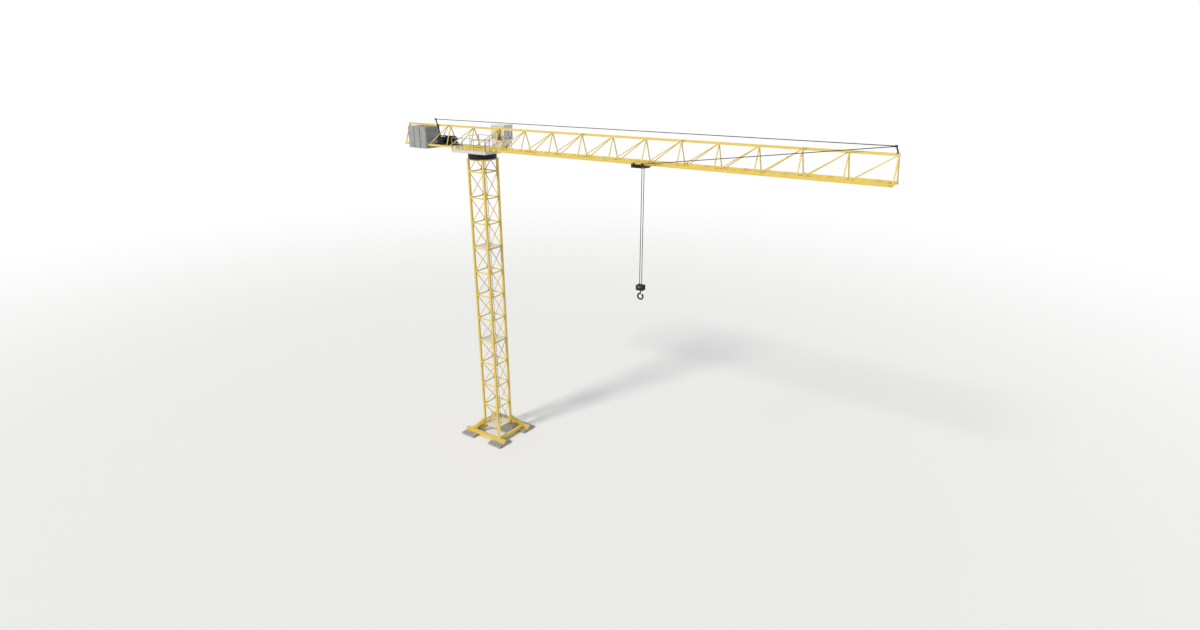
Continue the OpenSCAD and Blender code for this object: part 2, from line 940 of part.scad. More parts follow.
footings();
base_frame();
base_struts();
mast_lower();
mast_middle();
mast_upper();
deck_lower();
deck_middle();
deck_upper();
mast_cap();
ring_lower();
ring_upper();
turret();
platform();
platform_rails();
cab_base();
cab_shell();
cab_roof();
cab_panes();
head_truss();
counter_jib();
ballast_front_slab();
ballast_middle_slab();
ballast_rear_slab();
winch_frame();
winch_motor();
winch_drum();
rear_post();
tip_post();
jib_root();
jib_inner();
jib_outer();
jib_tip();
top_rope();
trolley_rope();
trolley_frame();
trolley_wheels();
trolley_sheaves();
hoist_falls();
hook_block();
block_sheave();
hook();
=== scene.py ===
"""Looks of the half-size tower crane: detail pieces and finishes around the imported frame."""

import logging
import math
from abc import ABC, abstractmethod
from dataclasses import dataclass, field
from enum import Enum
from typing import ClassVar

import bpy
import numpy as np
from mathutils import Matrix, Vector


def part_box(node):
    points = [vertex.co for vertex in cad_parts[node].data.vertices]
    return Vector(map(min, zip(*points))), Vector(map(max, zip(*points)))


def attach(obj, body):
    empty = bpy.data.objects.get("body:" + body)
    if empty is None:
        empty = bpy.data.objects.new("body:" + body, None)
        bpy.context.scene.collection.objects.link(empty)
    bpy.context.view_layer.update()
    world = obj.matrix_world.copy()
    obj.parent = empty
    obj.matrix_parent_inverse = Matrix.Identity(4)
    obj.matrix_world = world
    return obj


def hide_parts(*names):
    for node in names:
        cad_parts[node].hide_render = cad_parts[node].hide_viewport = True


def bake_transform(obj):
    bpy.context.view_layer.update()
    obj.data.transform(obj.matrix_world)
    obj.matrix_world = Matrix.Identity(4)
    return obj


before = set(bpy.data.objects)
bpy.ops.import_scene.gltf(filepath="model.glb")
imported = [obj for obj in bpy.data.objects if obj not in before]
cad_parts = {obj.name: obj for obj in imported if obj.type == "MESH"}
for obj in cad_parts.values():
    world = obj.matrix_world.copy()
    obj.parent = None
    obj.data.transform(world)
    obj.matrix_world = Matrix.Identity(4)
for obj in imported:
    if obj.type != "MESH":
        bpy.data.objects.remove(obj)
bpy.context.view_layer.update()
LOG = logging.getLogger("crane")

Array = np.ndarray
Socket = bpy.types.NodeSocket
Point = tuple[float, float, float]
Colour = tuple[float, float, float]
X, Y, Z = np.eye(3)
SIDES = (-1, 1)

TRUSS_HALF = 0.365  # from the truss's middle plane to the centre of a bottom chord
CHORD = 0.09  # width of a chord
TROLLEY_X = 9.262  # the trolley's and the hook's distance from the slewing axis at rest
ROPE_R = 0.0155
SLABS = ("ballast_front_slab", "ballast_middle_slab", "ballast_rear_slab")


class Slot(Enum):
    """The record's material slots."""

    YELLOW = "yellow_paint"
    PALE = "pale_paint"
    BLACK = "black_paint"
    STEEL = "dark_steel"
    CONCRETE = "concrete"
    GLASS = "glass"
    GREY = "rail_paint"


class Body(Enum):
    """The bodies that pieces ride on."""

    MAST = "mast"
    UPPER = "upperworks"
    DRUM = "drum"
    TROLLEY = "trolley"
    BLOCK = "block"
    HOOK = "hook"


# The finish of every CAD node that stays visible.
DRESS = {
    "concrete": ("footings", *SLABS),
    "yellow": ("base_frame", "base_struts", "mast_lower", "mast_middle", "mast_upper", "mast_cap", "turret",
               "head_truss", "counter_jib", "jib_root", "jib_inner", "jib_outer", "jib_tip"),
    "pale": ("deck_lower", "deck_middle", "deck_upper"),
    "cream": ("platform",),
    "white": ("cab_base", "cab_shell", "cab_roof"),
    "grey": ("platform_rails",),
    "black": ("ring_lower", "ring_upper", "winch_frame", "winch_motor", "rear_post", "tip_post",
              "trolley_frame", "hook_block", "hook"),
    "steel": ("winch_drum", "trolley_wheels", "trolley_sheaves", "block_sheave"),
}


@dataclass
class Shape:
    """Points and faces of one or more closed surfaces, kept as arrays."""

    points: Array
    faces: list[Array]

    def at(self, origins: Array, normals: Array = Z, along: Array = X) -> "Shape":
        """Copies of the shape, each with its Z axis along a normal and its X axis nearest to along.

        Args:
            origins: one or k points where the copies' origins go.
            normals: one or k third axes.
            along: one or k directions that aren't parallel to the normals.

        Returns:
            One shape with all the copies.
        """
        origins = np.atleast_2d(np.asarray(origins, float))
        third = np.broadcast_to(unit(normals), origins.shape)
        along = np.broadcast_to(np.asarray(along, float), origins.shape)
        second = unit(np.cross(third, along))
        frames = np.stack([np.cross(second, third), second, third, origins], axis=-1)
        rest = np.c_[self.points, np.ones(len(self.points))]
        points = np.einsum("kij,nj->kni", frames, rest).reshape(-1, 3)
        step = len(rest) * np.arange(len(frames))[:, None, None]
        return Shape(points, [(f[None] + step).reshape(-1, f.shape[1]) for f in self.faces])

    def outward(self) -> "Shape":
        """The shape with its faces pointing out, from the sign of its volume.

        Six times the volume is the sum over fan triangles of a . (b x c).
        """
        volume = 0.0
        middle = self.points.mean(0)
        for f in self.faces:
            corners = self.points[f] - middle
            for k in range(1, f.shape[1] - 1):
                volume += np.einsum("ij,ij->", corners[:, 0], np.cross(corners[:, k], corners[:, k + 1]))
        return self if volume > 0 else Shape(self.points, [f[:, ::-1] for f in self.faces])


def joined(shapes: list[Shape]) -> Shape:
    """One shape made of several, with the face indices shifted past the earlier points."""
    starts = np.cumsum([0] + [len(s.points) for s in shapes[:-1]])
    faces = [f + start for s, start in zip(shapes, starts) for f in s.faces]
    return Shape(np.concatenate([s.points for s in shapes]), faces)


def unit(v: Array) -> Array:
    """Vectors scaled to length 1 along the last axis."""
    v = np.asarray(v, float)
    return v / np.linalg.norm(v, axis=-1, keepdims=True)


def angles(count: int) -> Array:
    """Angles that divide a full turn into equal parts."""
    return 2 * np.pi * np.arange(count) / count


def circle(r: Array | float, a: Array, h: Array | float = 0.0) -> Array:
    """Points (r cos a, r sin a, h)."""
    return np.stack([r * np.cos(a), r * np.sin(a), h + 0 * (r * a)], -1)


def upright(w: float, h: float, a: Array) -> Array:
    """Points (w cos a, 0, h sin a)."""
    return np.stack([w * np.cos(a), 0 * a, h * np.sin(a)], -1)


def grid(xs: Array | float, ys: Array | float, zs: Array | float) -> Array:
    """The points at every x, every y and every z."""
    return np.stack(np.meshgrid(xs, ys, zs, indexing="ij"), -1).reshape(-1, 3)


def spread(values: Array | float, by: float) -> Array:
    """Each value less a distance, and plus it."""
    return np.add.outer(np.atleast_1d(values), (-by, by)).ravel()


def quarter_turns(points: Array) -> Array:
    """Points repeated by quarter turns about Z: (x, y), (-y, x), (-x, -y), (y, -x)."""
    x, y, z = np.atleast_2d(points).T
    turns = [(x, y), (-y, x), (-x, -y), (y, -x)]
    return np.concatenate([np.stack([a, b, z], -1) for a, b in turns])


def skin(rings: Array, closed: bool = False) -> Shape:
    """Quads between rings of points, with flat ends unless the rings close on themselves.

    Args:
        rings: points of shape (rings, sides, 3).
        closed: whether the last ring joins the first.

    Returns:
        The closed surface.
    """
    count, sides = rings.shape[:2]
    i = np.arange(count if closed else count - 1)[:, None]
    j = np.arange(sides)[None, :]
    here, there = i * sides, ((i + 1) % count) * sides
    turn = (j + 1) % sides
    faces = [np.stack([here + j, here + turn, there + turn, there + j], -1).reshape(-1, 4)]
    if not closed:
        faces += [j[:, ::-1], j + (count - 1) * sides]
    return Shape(rings.reshape(-1, 3), faces).outward()


def tube(path: Array, radius: float | Array, sides: int, up: Array) -> Shape:
    """A circle of the given radius carried along a path.

    A point is path(i) + r(i) (cos a e1 + sin a e2), where e1 is up x tangent and e2 is tangent x e1.

    Args:
        path: points of shape (n, 3).
        radius: one radius, or one for each point, or for each point and side.
        sides: corners of the circle.
        up: a direction that the path never runs along.

    Returns:
        The tube, with flat ends.
    """
    tangent = unit(np.gradient(path, axis=0))
    e1 = unit(np.cross(up, tangent))
    e2 = np.cross(tangent, e1)
    a = angles(sides)[None, :, None]
    r = np.asarray(radius, float)
    r = np.broadcast_to(r if r.ndim == 2 else r.reshape(-1, 1), (len(path), sides))[..., None]
    return skin(path[:, None] + r * (np.cos(a) * e1[:, None] + np.sin(a) * e2[:, None]))


def rod(p: Array, q: Array, radius: float, sides: int = 8) -> Shape:
    """A straight bar from p to q, whose radius is 0.86 r at both ends and r from 0.18 r further in."""
    p, q = np.asarray(p, float), np.asarray(q, float)
    way = unit(q - p)
    soft = 0.18 * radius * way
    radii = radius * np.array([0.86, 1.0, 1.0, 0.86])
    return tube(np.stack([p, p + soft, q - soft, q]), radii, sides, X if abs(way[0]) < 0.7 else Z)


def strand(p: Array, q: Array, pitch: float) -> Shape:
    """A laid rope of six strands, straight from p to q.

    The radius at angle a and length s is R (0.84 + 0.16 |cos(3 (a - 2 pi s / pitch))|).

    Args:
        p: one end.
        q: the other end.
        pitch: the length of one turn of the strands.

    Returns:
        The rope.
    """
    rings_a_turn, sides = 10, 18
    p, q = np.asarray(p, float), np.asarray(q, float)
    length = np.linalg.norm(q - p)
    s = np.linspace(0, length, int(length / pitch * rings_a_turn))[:, None]
    wave = np.abs(np.cos(3 * (angles(sides) - 2 * np.pi * s / pitch)))
    return tube(p + s * (q - p) / length, ROPE_R * (0.84 + 0.16 * wave), sides, Y)


def prism(outline: Array, thickness: float, chamfer: float = 0.0) -> Shape:
    """A flat outline given a thickness along Z, with chamfered edges.

    Each corner of the end rings moves in by the chamfer from both edges that meet there:
    p - c (m + n) / (1 + m . n), where m and n are the two edges' outward normals.

    Args:
        outline: corners of shape (n, 2), turning to the left.
        thickness: the height along Z, from 0.
        chamfer: the width of the chamfer, under half the thickness.

    Returns:
        The closed prism.
    """
    p = np.asarray(outline, float)
    edge = unit(np.roll(p, -1, 0) - p)
    n = np.stack([edge[:, 1], -edge[:, 0]], -1)
    m = np.roll(n, 1, 0)
    inner = p - chamfer * (m + n) / (1 + (m * n).sum(-1, keepdims=True))
    levels = [(inner, 0.0), (p, chamfer), (p, thickness - chamfer), (inner, thickness)]
    rings = np.stack([np.c_[q, np.full(len(p), h)] for q, h in levels])
    return skin(rings if chamfer > 0 else rings[1:3])


def rectangle(w: float, h: float) -> Array:
    """Corners of a rectangle about the origin."""
    return np.array([[-w, -h], [w, -h], [w, h], [-w, h]]) / 2


def plate(w: float, h: float, thickness: float, chamfer: float = 0.003) -> Shape:
    """A block w by h about the Z axis, from z = 0 up."""
    return prism(rectangle(w, h), thickness, chamfer)


def polygon(sides: int, radius: float) -> Array:
    """Corners of a regular polygon."""
    return circle(radius, angles(sides))[:, :2]


def mirrored_plates(outline: list[list[float]], spots: Array) -> Shape:
    """Plates that face -Y at the spots, and their mirror images in the plane y = 0."""
    corners = np.array(outline)
    near, far = (prism(c, 0.007, 0.002) for c in (corners, corners[::-1] * [-1, 1]))
    return joined([near.at(spots, -Y, X), far.at(spots * [1, -1, 1], Y, -X)])


def lathe(profile: list[list[float]] | Array, sides: int, hollow: bool = False) -> Shape:
    """A profile of radius and height turned about Z. A hollow one is a closed loop round an open middle."""
    r, h = np.array(profile, float).T[:, :, None]
    rings = circle(r, angles(sides), h)
    return skin(rings.swapaxes(0, 1), closed=True) if hollow else skin(rings)


def ball(radius: float, sides: int) -> Shape:
    """A sphere: radius (cos a, sin a) turned about Z."""
    a = np.linspace(-np.pi / 2, np.pi / 2, 7)
    return lathe(radius * np.stack([np.cos(a), np.sin(a)], -1), sides)


def bolt(across: float) -> Shape:
    """A hexagon head on a washer, standing on the XY plane along Z."""
    washer_t = 0.16 * across
    washer = prism(polygon(16, 0.95 * across), washer_t, 0.03 * across)
    head = prism(polygon(6, 0.577 * across), 0.6 * across, 0.08 * across)
    return joined([washer, head.at([0, 0, washer_t])])


def band(w: float, h: float, out: float, z0: float, z1: float) -> Shape:
    """A rectangular band round a w by h opening: its corners are (w/2, h/2) and (w/2 + out, h/2 + out)."""
    inner, outer = rectangle(w, h), rectangle(w + 2 * out, h + 2 * out)
    corners = [np.c_[p, np.full(4, z)] for p, z in ((inner, z0), (outer, z0), (outer, z1), (inner, z1))]
    return skin(np.stack(corners, 1), closed=True)


def arch(width: float, height: float, radius: float) -> Shape:
    """A bent bar with two feet on the X axis: w/2 cos a along X, h sin a along Z."""
    return tube(upright(0.5 * width, height, np.linspace(0, np.pi, 11)), radius, 8, -Y)


def tread(x0: float, x1: float, y0: float, y1: float, z: float) -> Shape:
    """Raised lozenges in a checkered field, each turned a quarter against its neighbours."""
    pitch = 0.07
    lozenge = prism([[-0.021, 0], [0, -0.006], [0.021, 0], [0, 0.006]], 0.003)
    i, j, _ = grid(np.arange(int((x1 - x0) / pitch)), np.arange(int((y1 - y0) / pitch)), 0).T
    points = np.stack([x0 + (i + 0.5) * pitch, y0 + (j + 0.5) * pitch, np.full(i.size, z)], -1)
    along = np.stack([np.ones(i.size), np.where((i + j) % 2, 1.0, -1.0), 0.0 * i], -1)
    return lozenge.at(points, Z, along)


def cad_box(node: str) -> tuple[Array, Array]:
    """Lowest and highest corner of a CAD node."""
    low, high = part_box(node)
    return np.array(low), np.array(high)


def cad_middle(node: str) -> Array:
    """The middle of a CAD node's box."""
    low, high = cad_box(node)
    return (low + high) / 2


class Tree:
    """Adds nodes and links to a node tree."""

    def __init__(self, tree: bpy.types.NodeTree) -> None:
        """Keeps the tree."""
        self.tree = tree

    def feed(self, socket: Socket, value: object) -> None:
        """Links an output to an input, or sets the input to a constant."""
        if isinstance(value, Socket):
            self.tree.links.new(value, socket)
        else:
            socket.default_value = value

    def add(self, kind: str, inputs: dict | None = None, **settings: object) -> bpy.types.Node:
        """Adds a node.

        Args:
            kind: the node's type after ShaderNode.
            inputs: what goes to each input: a socket, or a value.
            settings: properties of the node.

        Returns:
            The node.
        """
        node = self.tree.nodes.new("ShaderNode" + kind)
        for name, value in settings.items():
            setattr(node, name, value)
        for name, value in (inputs or {}).items():
            self.feed(node.inputs[name], value)
        return node

    def noise(self, vector: Socket, scale: float, detail: float = 3.0, rough: float = 0.55) -> Socket:
        """Noise from 0 to 1 at the given scale."""
        node = self.add("TexNoise", {"Vector": vector, "Scale": scale, "Detail": detail, "Roughness": rough})
        return node.outputs["Fac"]

    def ramp(self, value: Socket, low: float, high: float) -> Socket:
        """A smooth step of the value from low to high."""
        node = self.add("MapRange", {"Value": value, "From Min": low, "From Max": high},
                        interpolation_type="SMOOTHSTEP")
        return node.outputs["Result"]

    def patches(self, vector: Socket, scale: float, detail: float, low: float, high: float,
                rough: float = 0.55) -> Socket:
        """Patches where noise rises from low to high."""
        return self.ramp(self.noise(vector, scale, detail, rough), low, high)

    def mix(self, share: Socket, a: Socket, b: Socket) -> Socket:
        """A colour between a and b."""
        return self.add("Mix", {0: share, 6: a, 7: b}, data_type="RGBA").outputs[2]

    def fold(self, kind: str, first: object, *others: object) -> Socket:
        """A sum, product or other operation on two or more values, from the first on."""
        for other in others:
            first = self.add("Math", {0: first, 1: other}, operation=kind).outputs[0]
        return first

    def times(self, *factors: object) -> Socket:
        """The product of the factors."""
        return self.fold("MULTIPLY", *factors)

    def plus(self, *terms: object) -> Socket:
        """The sum of the terms."""
        return self.fold("ADD", *terms)

    def stretched(self, vector: Socket, scale: tuple[float, float, float]) -> Socket:
        """The vector scaled along each axis."""
        return self.add("Mapping", {"Vector": vector, "Scale": scale}).outputs[0]

    def place(self) -> Socket:
        """Object coordinates."""
        return self.add("TexCoord").outputs["Object"]

    def seen(self) -> Socket:
        """1 for what the camera sees, directly, in a mirror or through glass."""
        rays = self.add("LightPath").outputs
        kinds = ("Camera", "Glossy", "Transmission")
        return self.fold("MAXIMUM", *(rays[f"Is {kind} Ray"] for kind in kinds))


class Effect(ABC):
    """A shader node group that several finishes share, built once.

    Its inputs are Vector and the settings. Its outputs are Color, Roughness and Height.
    """

    name: ClassVar[str]
    settings: ClassVar[dict[str, object]]
    results: ClassVar[tuple[str, ...]] = ("Color", "Roughness", "Height")
    made: ClassVar[dict[str, bpy.types.NodeTree]] = {}

    @classmethod
    def group(cls) -> bpy.types.NodeTree:
        """The group, which the first call builds."""
        if cls.name in cls.made:
            return cls.made[cls.name]
        tree = cls.made[cls.name] = bpy.data.node_groups.new(cls.name, "ShaderNodeTree")
        socket = tree.interface.new_socket
        socket(name="Vector", in_out="INPUT", socket_type="NodeSocketVector")
        for label, value in cls.settings.items():
            kind = "NodeSocketFloat" if isinstance(value, float) else "NodeSocketColor"
            socket(name=label, in_out="INPUT", socket_type=kind).default_value = value
        for label in cls.results:
            kind = "NodeSocketColor" if label == "Color" else "NodeSocketFloat"
            socket(name=label, in_out="OUTPUT", socket_type=kind)
        given, output = tree.nodes.new("NodeGroupInput"), tree.nodes.new("NodeGroupOutput")
        for label, value in zip(cls.results, cls.surface(Tree(tree), given.outputs)):
            tree.links.new(value, output.inputs[label])
        return tree

    @staticmethod
    @abstractmethod
    def surface(t: Tree, given: dict[str, Socket]) -> tuple[Socket, Socket, Socket]:
        """Colour, roughness and height, worked out from the group's inputs."""

    @classmethod
    def material(cls, name: str, depth: float, **values: object) -> tuple[bpy.types.Material, bpy.types.Node]:
        """A material whose colour, roughness and bump come from the group.

        Args:
            name: the material's name.
            depth: the bump's distance.
            values: the group's settings: colours and numbers.

        Returns:
            The material and its Principled shader.
        """
        mat, t, shader = new_material(name)
        group = t.add("Group", node_tree=cls.group())
        t.feed(group.inputs["Vector"], t.place())
        for label, value in values.items():
            t.feed(group.inputs[label], (*value, 1.0) if isinstance(value, tuple) else value)
        colour, rough, height = (group.outputs[label] for label in cls.results)
        t.feed(shader.inputs["Base Color"], colour)
        t.feed(shader.inputs["Roughness"], rough)
        bump = t.add("Bump", {"Height": height, "Distance": depth, "Strength": 0.6})
        t.feed(shader.inputs["Normal"], bump.outputs[0])
        return mat, shader


class PaintWear(Effect):
    """Paint that is faded in patches, streaked by rain, dusty on top and chipped in spots."""

    name = "painted steel wear"
    settings = {"Paint": (0.8, 0.6, 0.1, 1), "Faded": (0.8, 0.7, 0.4, 1), "Bare": (0.2, 0.13, 0.08, 1),
                "Dust": (0.5, 0.48, 0.44, 1), "Fading": 0.5, "Chips": 0.5, "Dirt": 0.5, "Gloss": 0.4}

    @staticmethod
    def surface(t: Tree, given: dict[str, Socket]) -> tuple[Socket, Socket, Socket]:
        """Colour, roughness and height of the worn paint."""
        v = given["Vector"]
        fading = t.times(t.patches(v, 1.1, 4.0, 0.35, 0.75, 0.6), given["Fading"])
        colour = t.mix(fading, given["Paint"], given["Faded"])
        streaks = t.patches(t.stretched(v, (34.0, 34.0, 1.6)), 1.0, 3.0, 0.52, 0.78)
        broad = t.patches(v, 3.2, 3.0, 0.4, 0.7)
        up = t.add("SeparateXYZ", {0: t.add("NewGeometry").outputs["Normal"]}).outputs["Z"]
        lying = t.fold("MAXIMUM", t.times(streaks, broad), t.ramp(up, 0.3, 1.0))
        dirt = t.times(lying, given["Dirt"], t.patches(v, 21.0, 4.0, 0.25, 0.8))
        colour = t.mix(dirt, colour, given["Dust"])
        spots = t.times(t.noise(v, 27.0, 5.0, 0.7), t.noise(v, 2.3, 2.0))
        chips = t.times(t.ramp(spots, 0.385, 0.405), given["Chips"])
        colour = t.mix(chips, colour, given["Bare"])
        grain = t.times(t.noise(v, 60.0, 2.0), 0.12)
        rough = t.plus(given["Gloss"], t.times(dirt, 0.3), grain)
        peel = t.times(t.noise(v, 160.0, 2.0), 0.35)
        return colour, rough, t.fold("SUBTRACT", peel, chips)


class CastConcrete(Effect):
    """Cast concrete: clouds of tone, pores, a fine grain and damp stains."""

    name = "cast concrete"
    settings = {"Light": (0.6, 0.6, 0.6, 1), "Dark": (0.4, 0.4, 0.4, 1), "Stain": (0.3, 0.3, 0.28, 1),
                "Pores": 0.6}

    @staticmethod
    def surface(t: Tree, given: dict[str, Socket]) -> tuple[Socket, Socket, Socket]:
        """Colour, roughness and height of the concrete."""
        v = given["Vector"]
        clouds = t.patches(v, 2.6, 5.0, 0.3, 0.72, 0.62)
        colour = t.mix(clouds, given["Light"], given["Dark"])
        runs = t.patches(t.stretched(v, (9.0, 9.0, 0.8)), 1.0, 4.0, 0.55, 0.8)
        colour = t.mix(t.times(runs, 0.45), colour, given["Stain"])
        cells = t.add("TexVoronoi", {"Vector": v, "Scale": 58.0}, feature="F1").outputs["Distance"]
        holes = t.fold("SUBTRACT", 1.0, t.ramp(cells, 0.1, 0.2))
        pores = t.times(holes, t.patches(v, 19.0, 2.0, 0.52, 0.62), given["Pores"])
        colour = t.mix(t.times(pores, 0.6), colour, given["Stain"])
        grain = t.noise(v, 190.0, 3.0, 0.7)
        height = t.plus(t.fold("SUBTRACT", t.times(grain, 0.35), pores), t.times(clouds, 0.15))
        return colour, t.plus(0.72, t.times(grain, 0.2)), height


def new_material(name: str) -> tuple[bpy.types.Material, Tree, bpy.types.Node]:
    """A material with an empty Principled surface."""
    mat = bpy.data.materials.new(name)
    mat.use_nodes = True
    return mat, Tree(mat.node_tree), mat.node_tree.nodes["Principled BSDF"]


@dataclass(frozen=True)
class Finish(ABC):
    """A finish, with the record's material slot that it belongs to."""

    name: str
    slot: Slot

    @abstractmethod
    def material(self) -> bpy.types.Material:
        """Builds the finish's material."""


@dataclass(frozen=True)
class Paint(Finish):
    """A coat of paint on steel, with its wear."""

    colour: Colour
    faded: Colour
    fading: float = 0.5
    chips: float = 0.5
    dirt: float = 0.35
    gloss: float = 0.36
    dust: Colour = (0.42, 0.40, 0.36)
    bare: Colour = (0.16, 0.09, 0.05)
    metallic: float = 0.0
    shine: float = 0.5
    bump: float = 0.0012

    def material(self) -> bpy.types.Material:
        """Builds the material: the wear group feeds colour, roughness and bump."""
        mat, shader = PaintWear.material(
            self.name, self.bump, Paint=self.colour, Faded=self.faded, Bare=self.bare, Dust=self.dust,
            Fading=self.fading, Chips=self.chips, Dirt=self.dirt, Gloss=self.gloss)
        shader.inputs["Metallic"].default_value = self.metallic
        shader.inputs["Specular IOR Level"].default_value = self.shine
        return mat


@dataclass(frozen=True)
class Concrete(Finish):
    """Cast concrete in two tones with stains and pores."""

    light: Colour
    dark: Colour
    stain: Colour
    pores: float = 0.6
    bump: float = 0.004

    def material(self) -> bpy.types.Material:
        """Builds the material: the concrete group feeds colour, roughness and bump."""
        return CastConcrete.material(self.name, self.bump, Light=self.light, Dark=self.dark,
                                     Stain=self.stain, Pores=self.pores)[0]


@dataclass(frozen=True)
class Glazing(Finish):
    """Window glass that mirrors the sky, with patches of dust that are rougher and less clear."""

    tint: Colour
    alpha: float

    def material(self) -> bpy.types.Material:
        """Builds the material: a glossy coloured pane whose dust varies its roughness and alpha."""
        mat, t, shader = new_material(self.name)
        dust = t.patches(t.place(), 3.5, 4.0, 0.45, 0.8)
        t.feed(shader.inputs["Base Color"], (*self.tint, 1.0))
        t.feed(shader.inputs["Roughness"], t.plus(0.04, t.times(dust, 0.14)))
        t.feed(shader.inputs["Alpha"], t.plus(self.alpha, t.times(dust, 0.12)))
        shader.inputs["IOR"].default_value = 1.5
        return mat


FINISHES: dict[str, Finish] = {
    "yellow": Paint("yellow paint", Slot.YELLOW, (0.68, 0.495, 0.075), (0.70, 0.56, 0.17)),
    "pale": Paint("pale paint", Slot.PALE, (0.70, 0.69, 0.59), (0.62, 0.60, 0.50), chips=0.3, dirt=0.3),
    "cream": Paint("cream paint", Slot.PALE, (0.60, 0.59, 0.53), (0.54, 0.52, 0.44), chips=0.25, dirt=0.3),
    "white": Paint("white paint", Slot.PALE, (0.70, 0.69, 0.64), (0.64, 0.62, 0.54), chips=0.2, dirt=0.25),
    "black": Paint("black paint", Slot.BLACK, (0.006, 0.0065, 0.008), (0.013, 0.013, 0.014), chips=0.15,
                   gloss=0.45, dust=(0.035, 0.033, 0.03), bare=(0.03, 0.026, 0.022), shine=0.22),
    "grey": Paint("rail paint", Slot.GREY, (0.20, 0.205, 0.21), (0.27, 0.27, 0.27), chips=0.25, gloss=0.38),
    "steel": Paint("greased steel", Slot.STEEL, (0.03, 0.03, 0.033), (0.06, 0.056, 0.052), chips=0.1,
                   gloss=0.38, metallic=0.6, dust=(0.05, 0.04, 0.03)),
    "zinc": Paint("zinc plated steel", Slot.STEEL, (0.34, 0.34, 0.35), (0.24, 0.235, 0.23), chips=0.15,
                  gloss=0.34, metallic=0.8),
    "rubber": Paint("black rubber", Slot.BLACK, (0.010, 0.010, 0.011), (0.02, 0.02, 0.02), chips=0.0,
                    gloss=0.6, shine=0.2),
    "rope": Paint("rope in black grease", Slot.STEEL, (0.010, 0.010, 0.011), (0.018, 0.018, 0.017), chips=0.0,
                  gloss=0.55, dust=(0.03, 0.028, 0.025), shine=0.2),
    "concrete": Concrete("cast concrete", Slot.CONCRETE, (0.33, 0.335, 0.33), (0.26, 0.265, 0.265),
                         (0.17, 0.17, 0.16)),
    "front_glass": Glazing("front glass", Slot.GLASS, (0.66, 0.69, 0.73), 0.85),
    "side_glass": Glazing("side glass", Slot.GLASS, (0.22, 0.16, 0.08), 0.82),
}


class Maker:
    """Makes objects from shapes and hands them to the frame."""

    sharp_angle: ClassVar[float] = math.radians(35)

    def __init__(self) -> None:
        """Builds every material."""
        self.materials = {key: finish.material() for key, finish in FINISHES.items()}

    def dress(self) -> None:
        """Gives the CAD nodes their finishes."""
        for finish, nodes in DRESS.items():
            for node in nodes:
                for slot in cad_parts[node].material_slots:
                    slot.material = self.materials[finish]
            LOG.info("%s: %s", finish, ", ".join(nodes))

    def piece(self, name: str, finish: str, shape: Shape, body: Body = Body.UPPER,
              replaces: tuple[str, ...] = (), ride: bool = True) -> bpy.types.Object:
        """Makes one mesh object, in place.

        Args:
            name: the piece's name.
            finish: the key of its finish.
            shape: its surfaces.
            body: the body that it rides on.
            replaces: CAD nodes that it stands for.
            ride: whether it rides on the body.

        Returns:
            The object.
        """
        mesh = bpy.data.meshes.new(name)
        counts = np.concatenate([np.full(len(f), f.shape[1]) for f in shape.faces])
        corners = np.concatenate([f.ravel() for f in shape.faces])
        mesh.vertices.add(len(shape.points))
        mesh.vertices.foreach_set("co", shape.points.astype(np.float32).ravel())
        mesh.loops.add(len(corners))
        mesh.loops.foreach_set("vertex_index", corners.astype(np.int32))
        mesh.polygons.add(len(counts))
        mesh.polygons.foreach_set("loop_start", (np.cumsum(counts) - counts).astype(np.int32))
        mesh.polygons.foreach_set("use_smooth", np.ones(len(counts), bool))
        mesh.update(calc_edges=True)
        mesh.validate()
        mesh.set_sharp_from_angle(angle=self.sharp_angle)
        mesh.materials.append(self.materials[finish])
        obj = bpy.data.objects.new(name, mesh)
        bpy.context.scene.collection.objects.link(obj)
        if ride:
            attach(obj, body.value)
        if replaces:
            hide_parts(*replaces)
        LOG.info("%s: %d points, %d faces", name, len(shape.points), len(counts))
        return obj


class Assembly(ABC):
    """A sub-assembly of the crane."""

    @abstractmethod
    def build(self, maker: Maker) -> None:
        """Makes the sub-assembly's pieces."""


@dataclass
class Base(Assembly):
    """Footings and base frame: clamps, beam ends and lifting loops."""

    half: float = 1.0
    run: float = 0.43
    beam: float = 0.18
    footing_h: float = 0.11

    def clamps(self) -> tuple[Shape, Shape]:
        """Clamp plates beside the beams on each footing, and their bolts."""
        thick, apart, beside = 0.016, 0.24, self.beam / 2 + 0.045
        xs, ys = (spread((-self.half, self.half), by) for by in (apart, beside))
        spots = grid(xs, ys, self.footing_h)
        return plate(0.12, 0.09, thick).at(spots), bolt(0.032).at(spots + [0, 0, thick])

    def ends(self) -> Shape:
        """End plates on the long beams."""
        spots = grid(spread(0, self.half + self.run), (-self.half, self.half), self.footing_h + self.beam / 2)
        side = self.beam - 0.03
        return plate(side, side, 0.010).at(spots, np.sign(spots * X), Y)

    def loops(self) -> Shape:
        """Lifting loops of bent bar in two corners of each footing: a half circle with straight feet."""
        half_w, rise, sunk, bar_r, corner = 0.035, 0.03, 0.002, 0.007, 0.33
        arc = upright(half_w, rise, np.linspace(0, np.pi, 9)) + [0, 0, rise]
        feet = np.array([[[half_w, 0, -sunk]], [[-half_w, 0, -sunk]]])
        loop = tube(np.concatenate([feet[0], arc, feet[1]]), bar_r, 8, Y)
        near = np.array([-self.half, self.half])
        spots = [grid(near + d, near + d, self.footing_h) for d in (-corner, corner)]
        return loop.at(np.concatenate(spots))

    def build(self, maker: Maker) -> None:
        """Makes the base's pieces."""
        clamps, heads = self.clamps()
        maker.piece("footing_clamps", "yellow", clamps, Body.MAST)
        maker.piece("footing_bolts", "zinc", heads, Body.MAST)
        maker.piece("beam_end_plates", "yellow", self.ends(), Body.MAST)
        maker.piece("footing_loops", "zinc", self.loops(), Body.MAST)


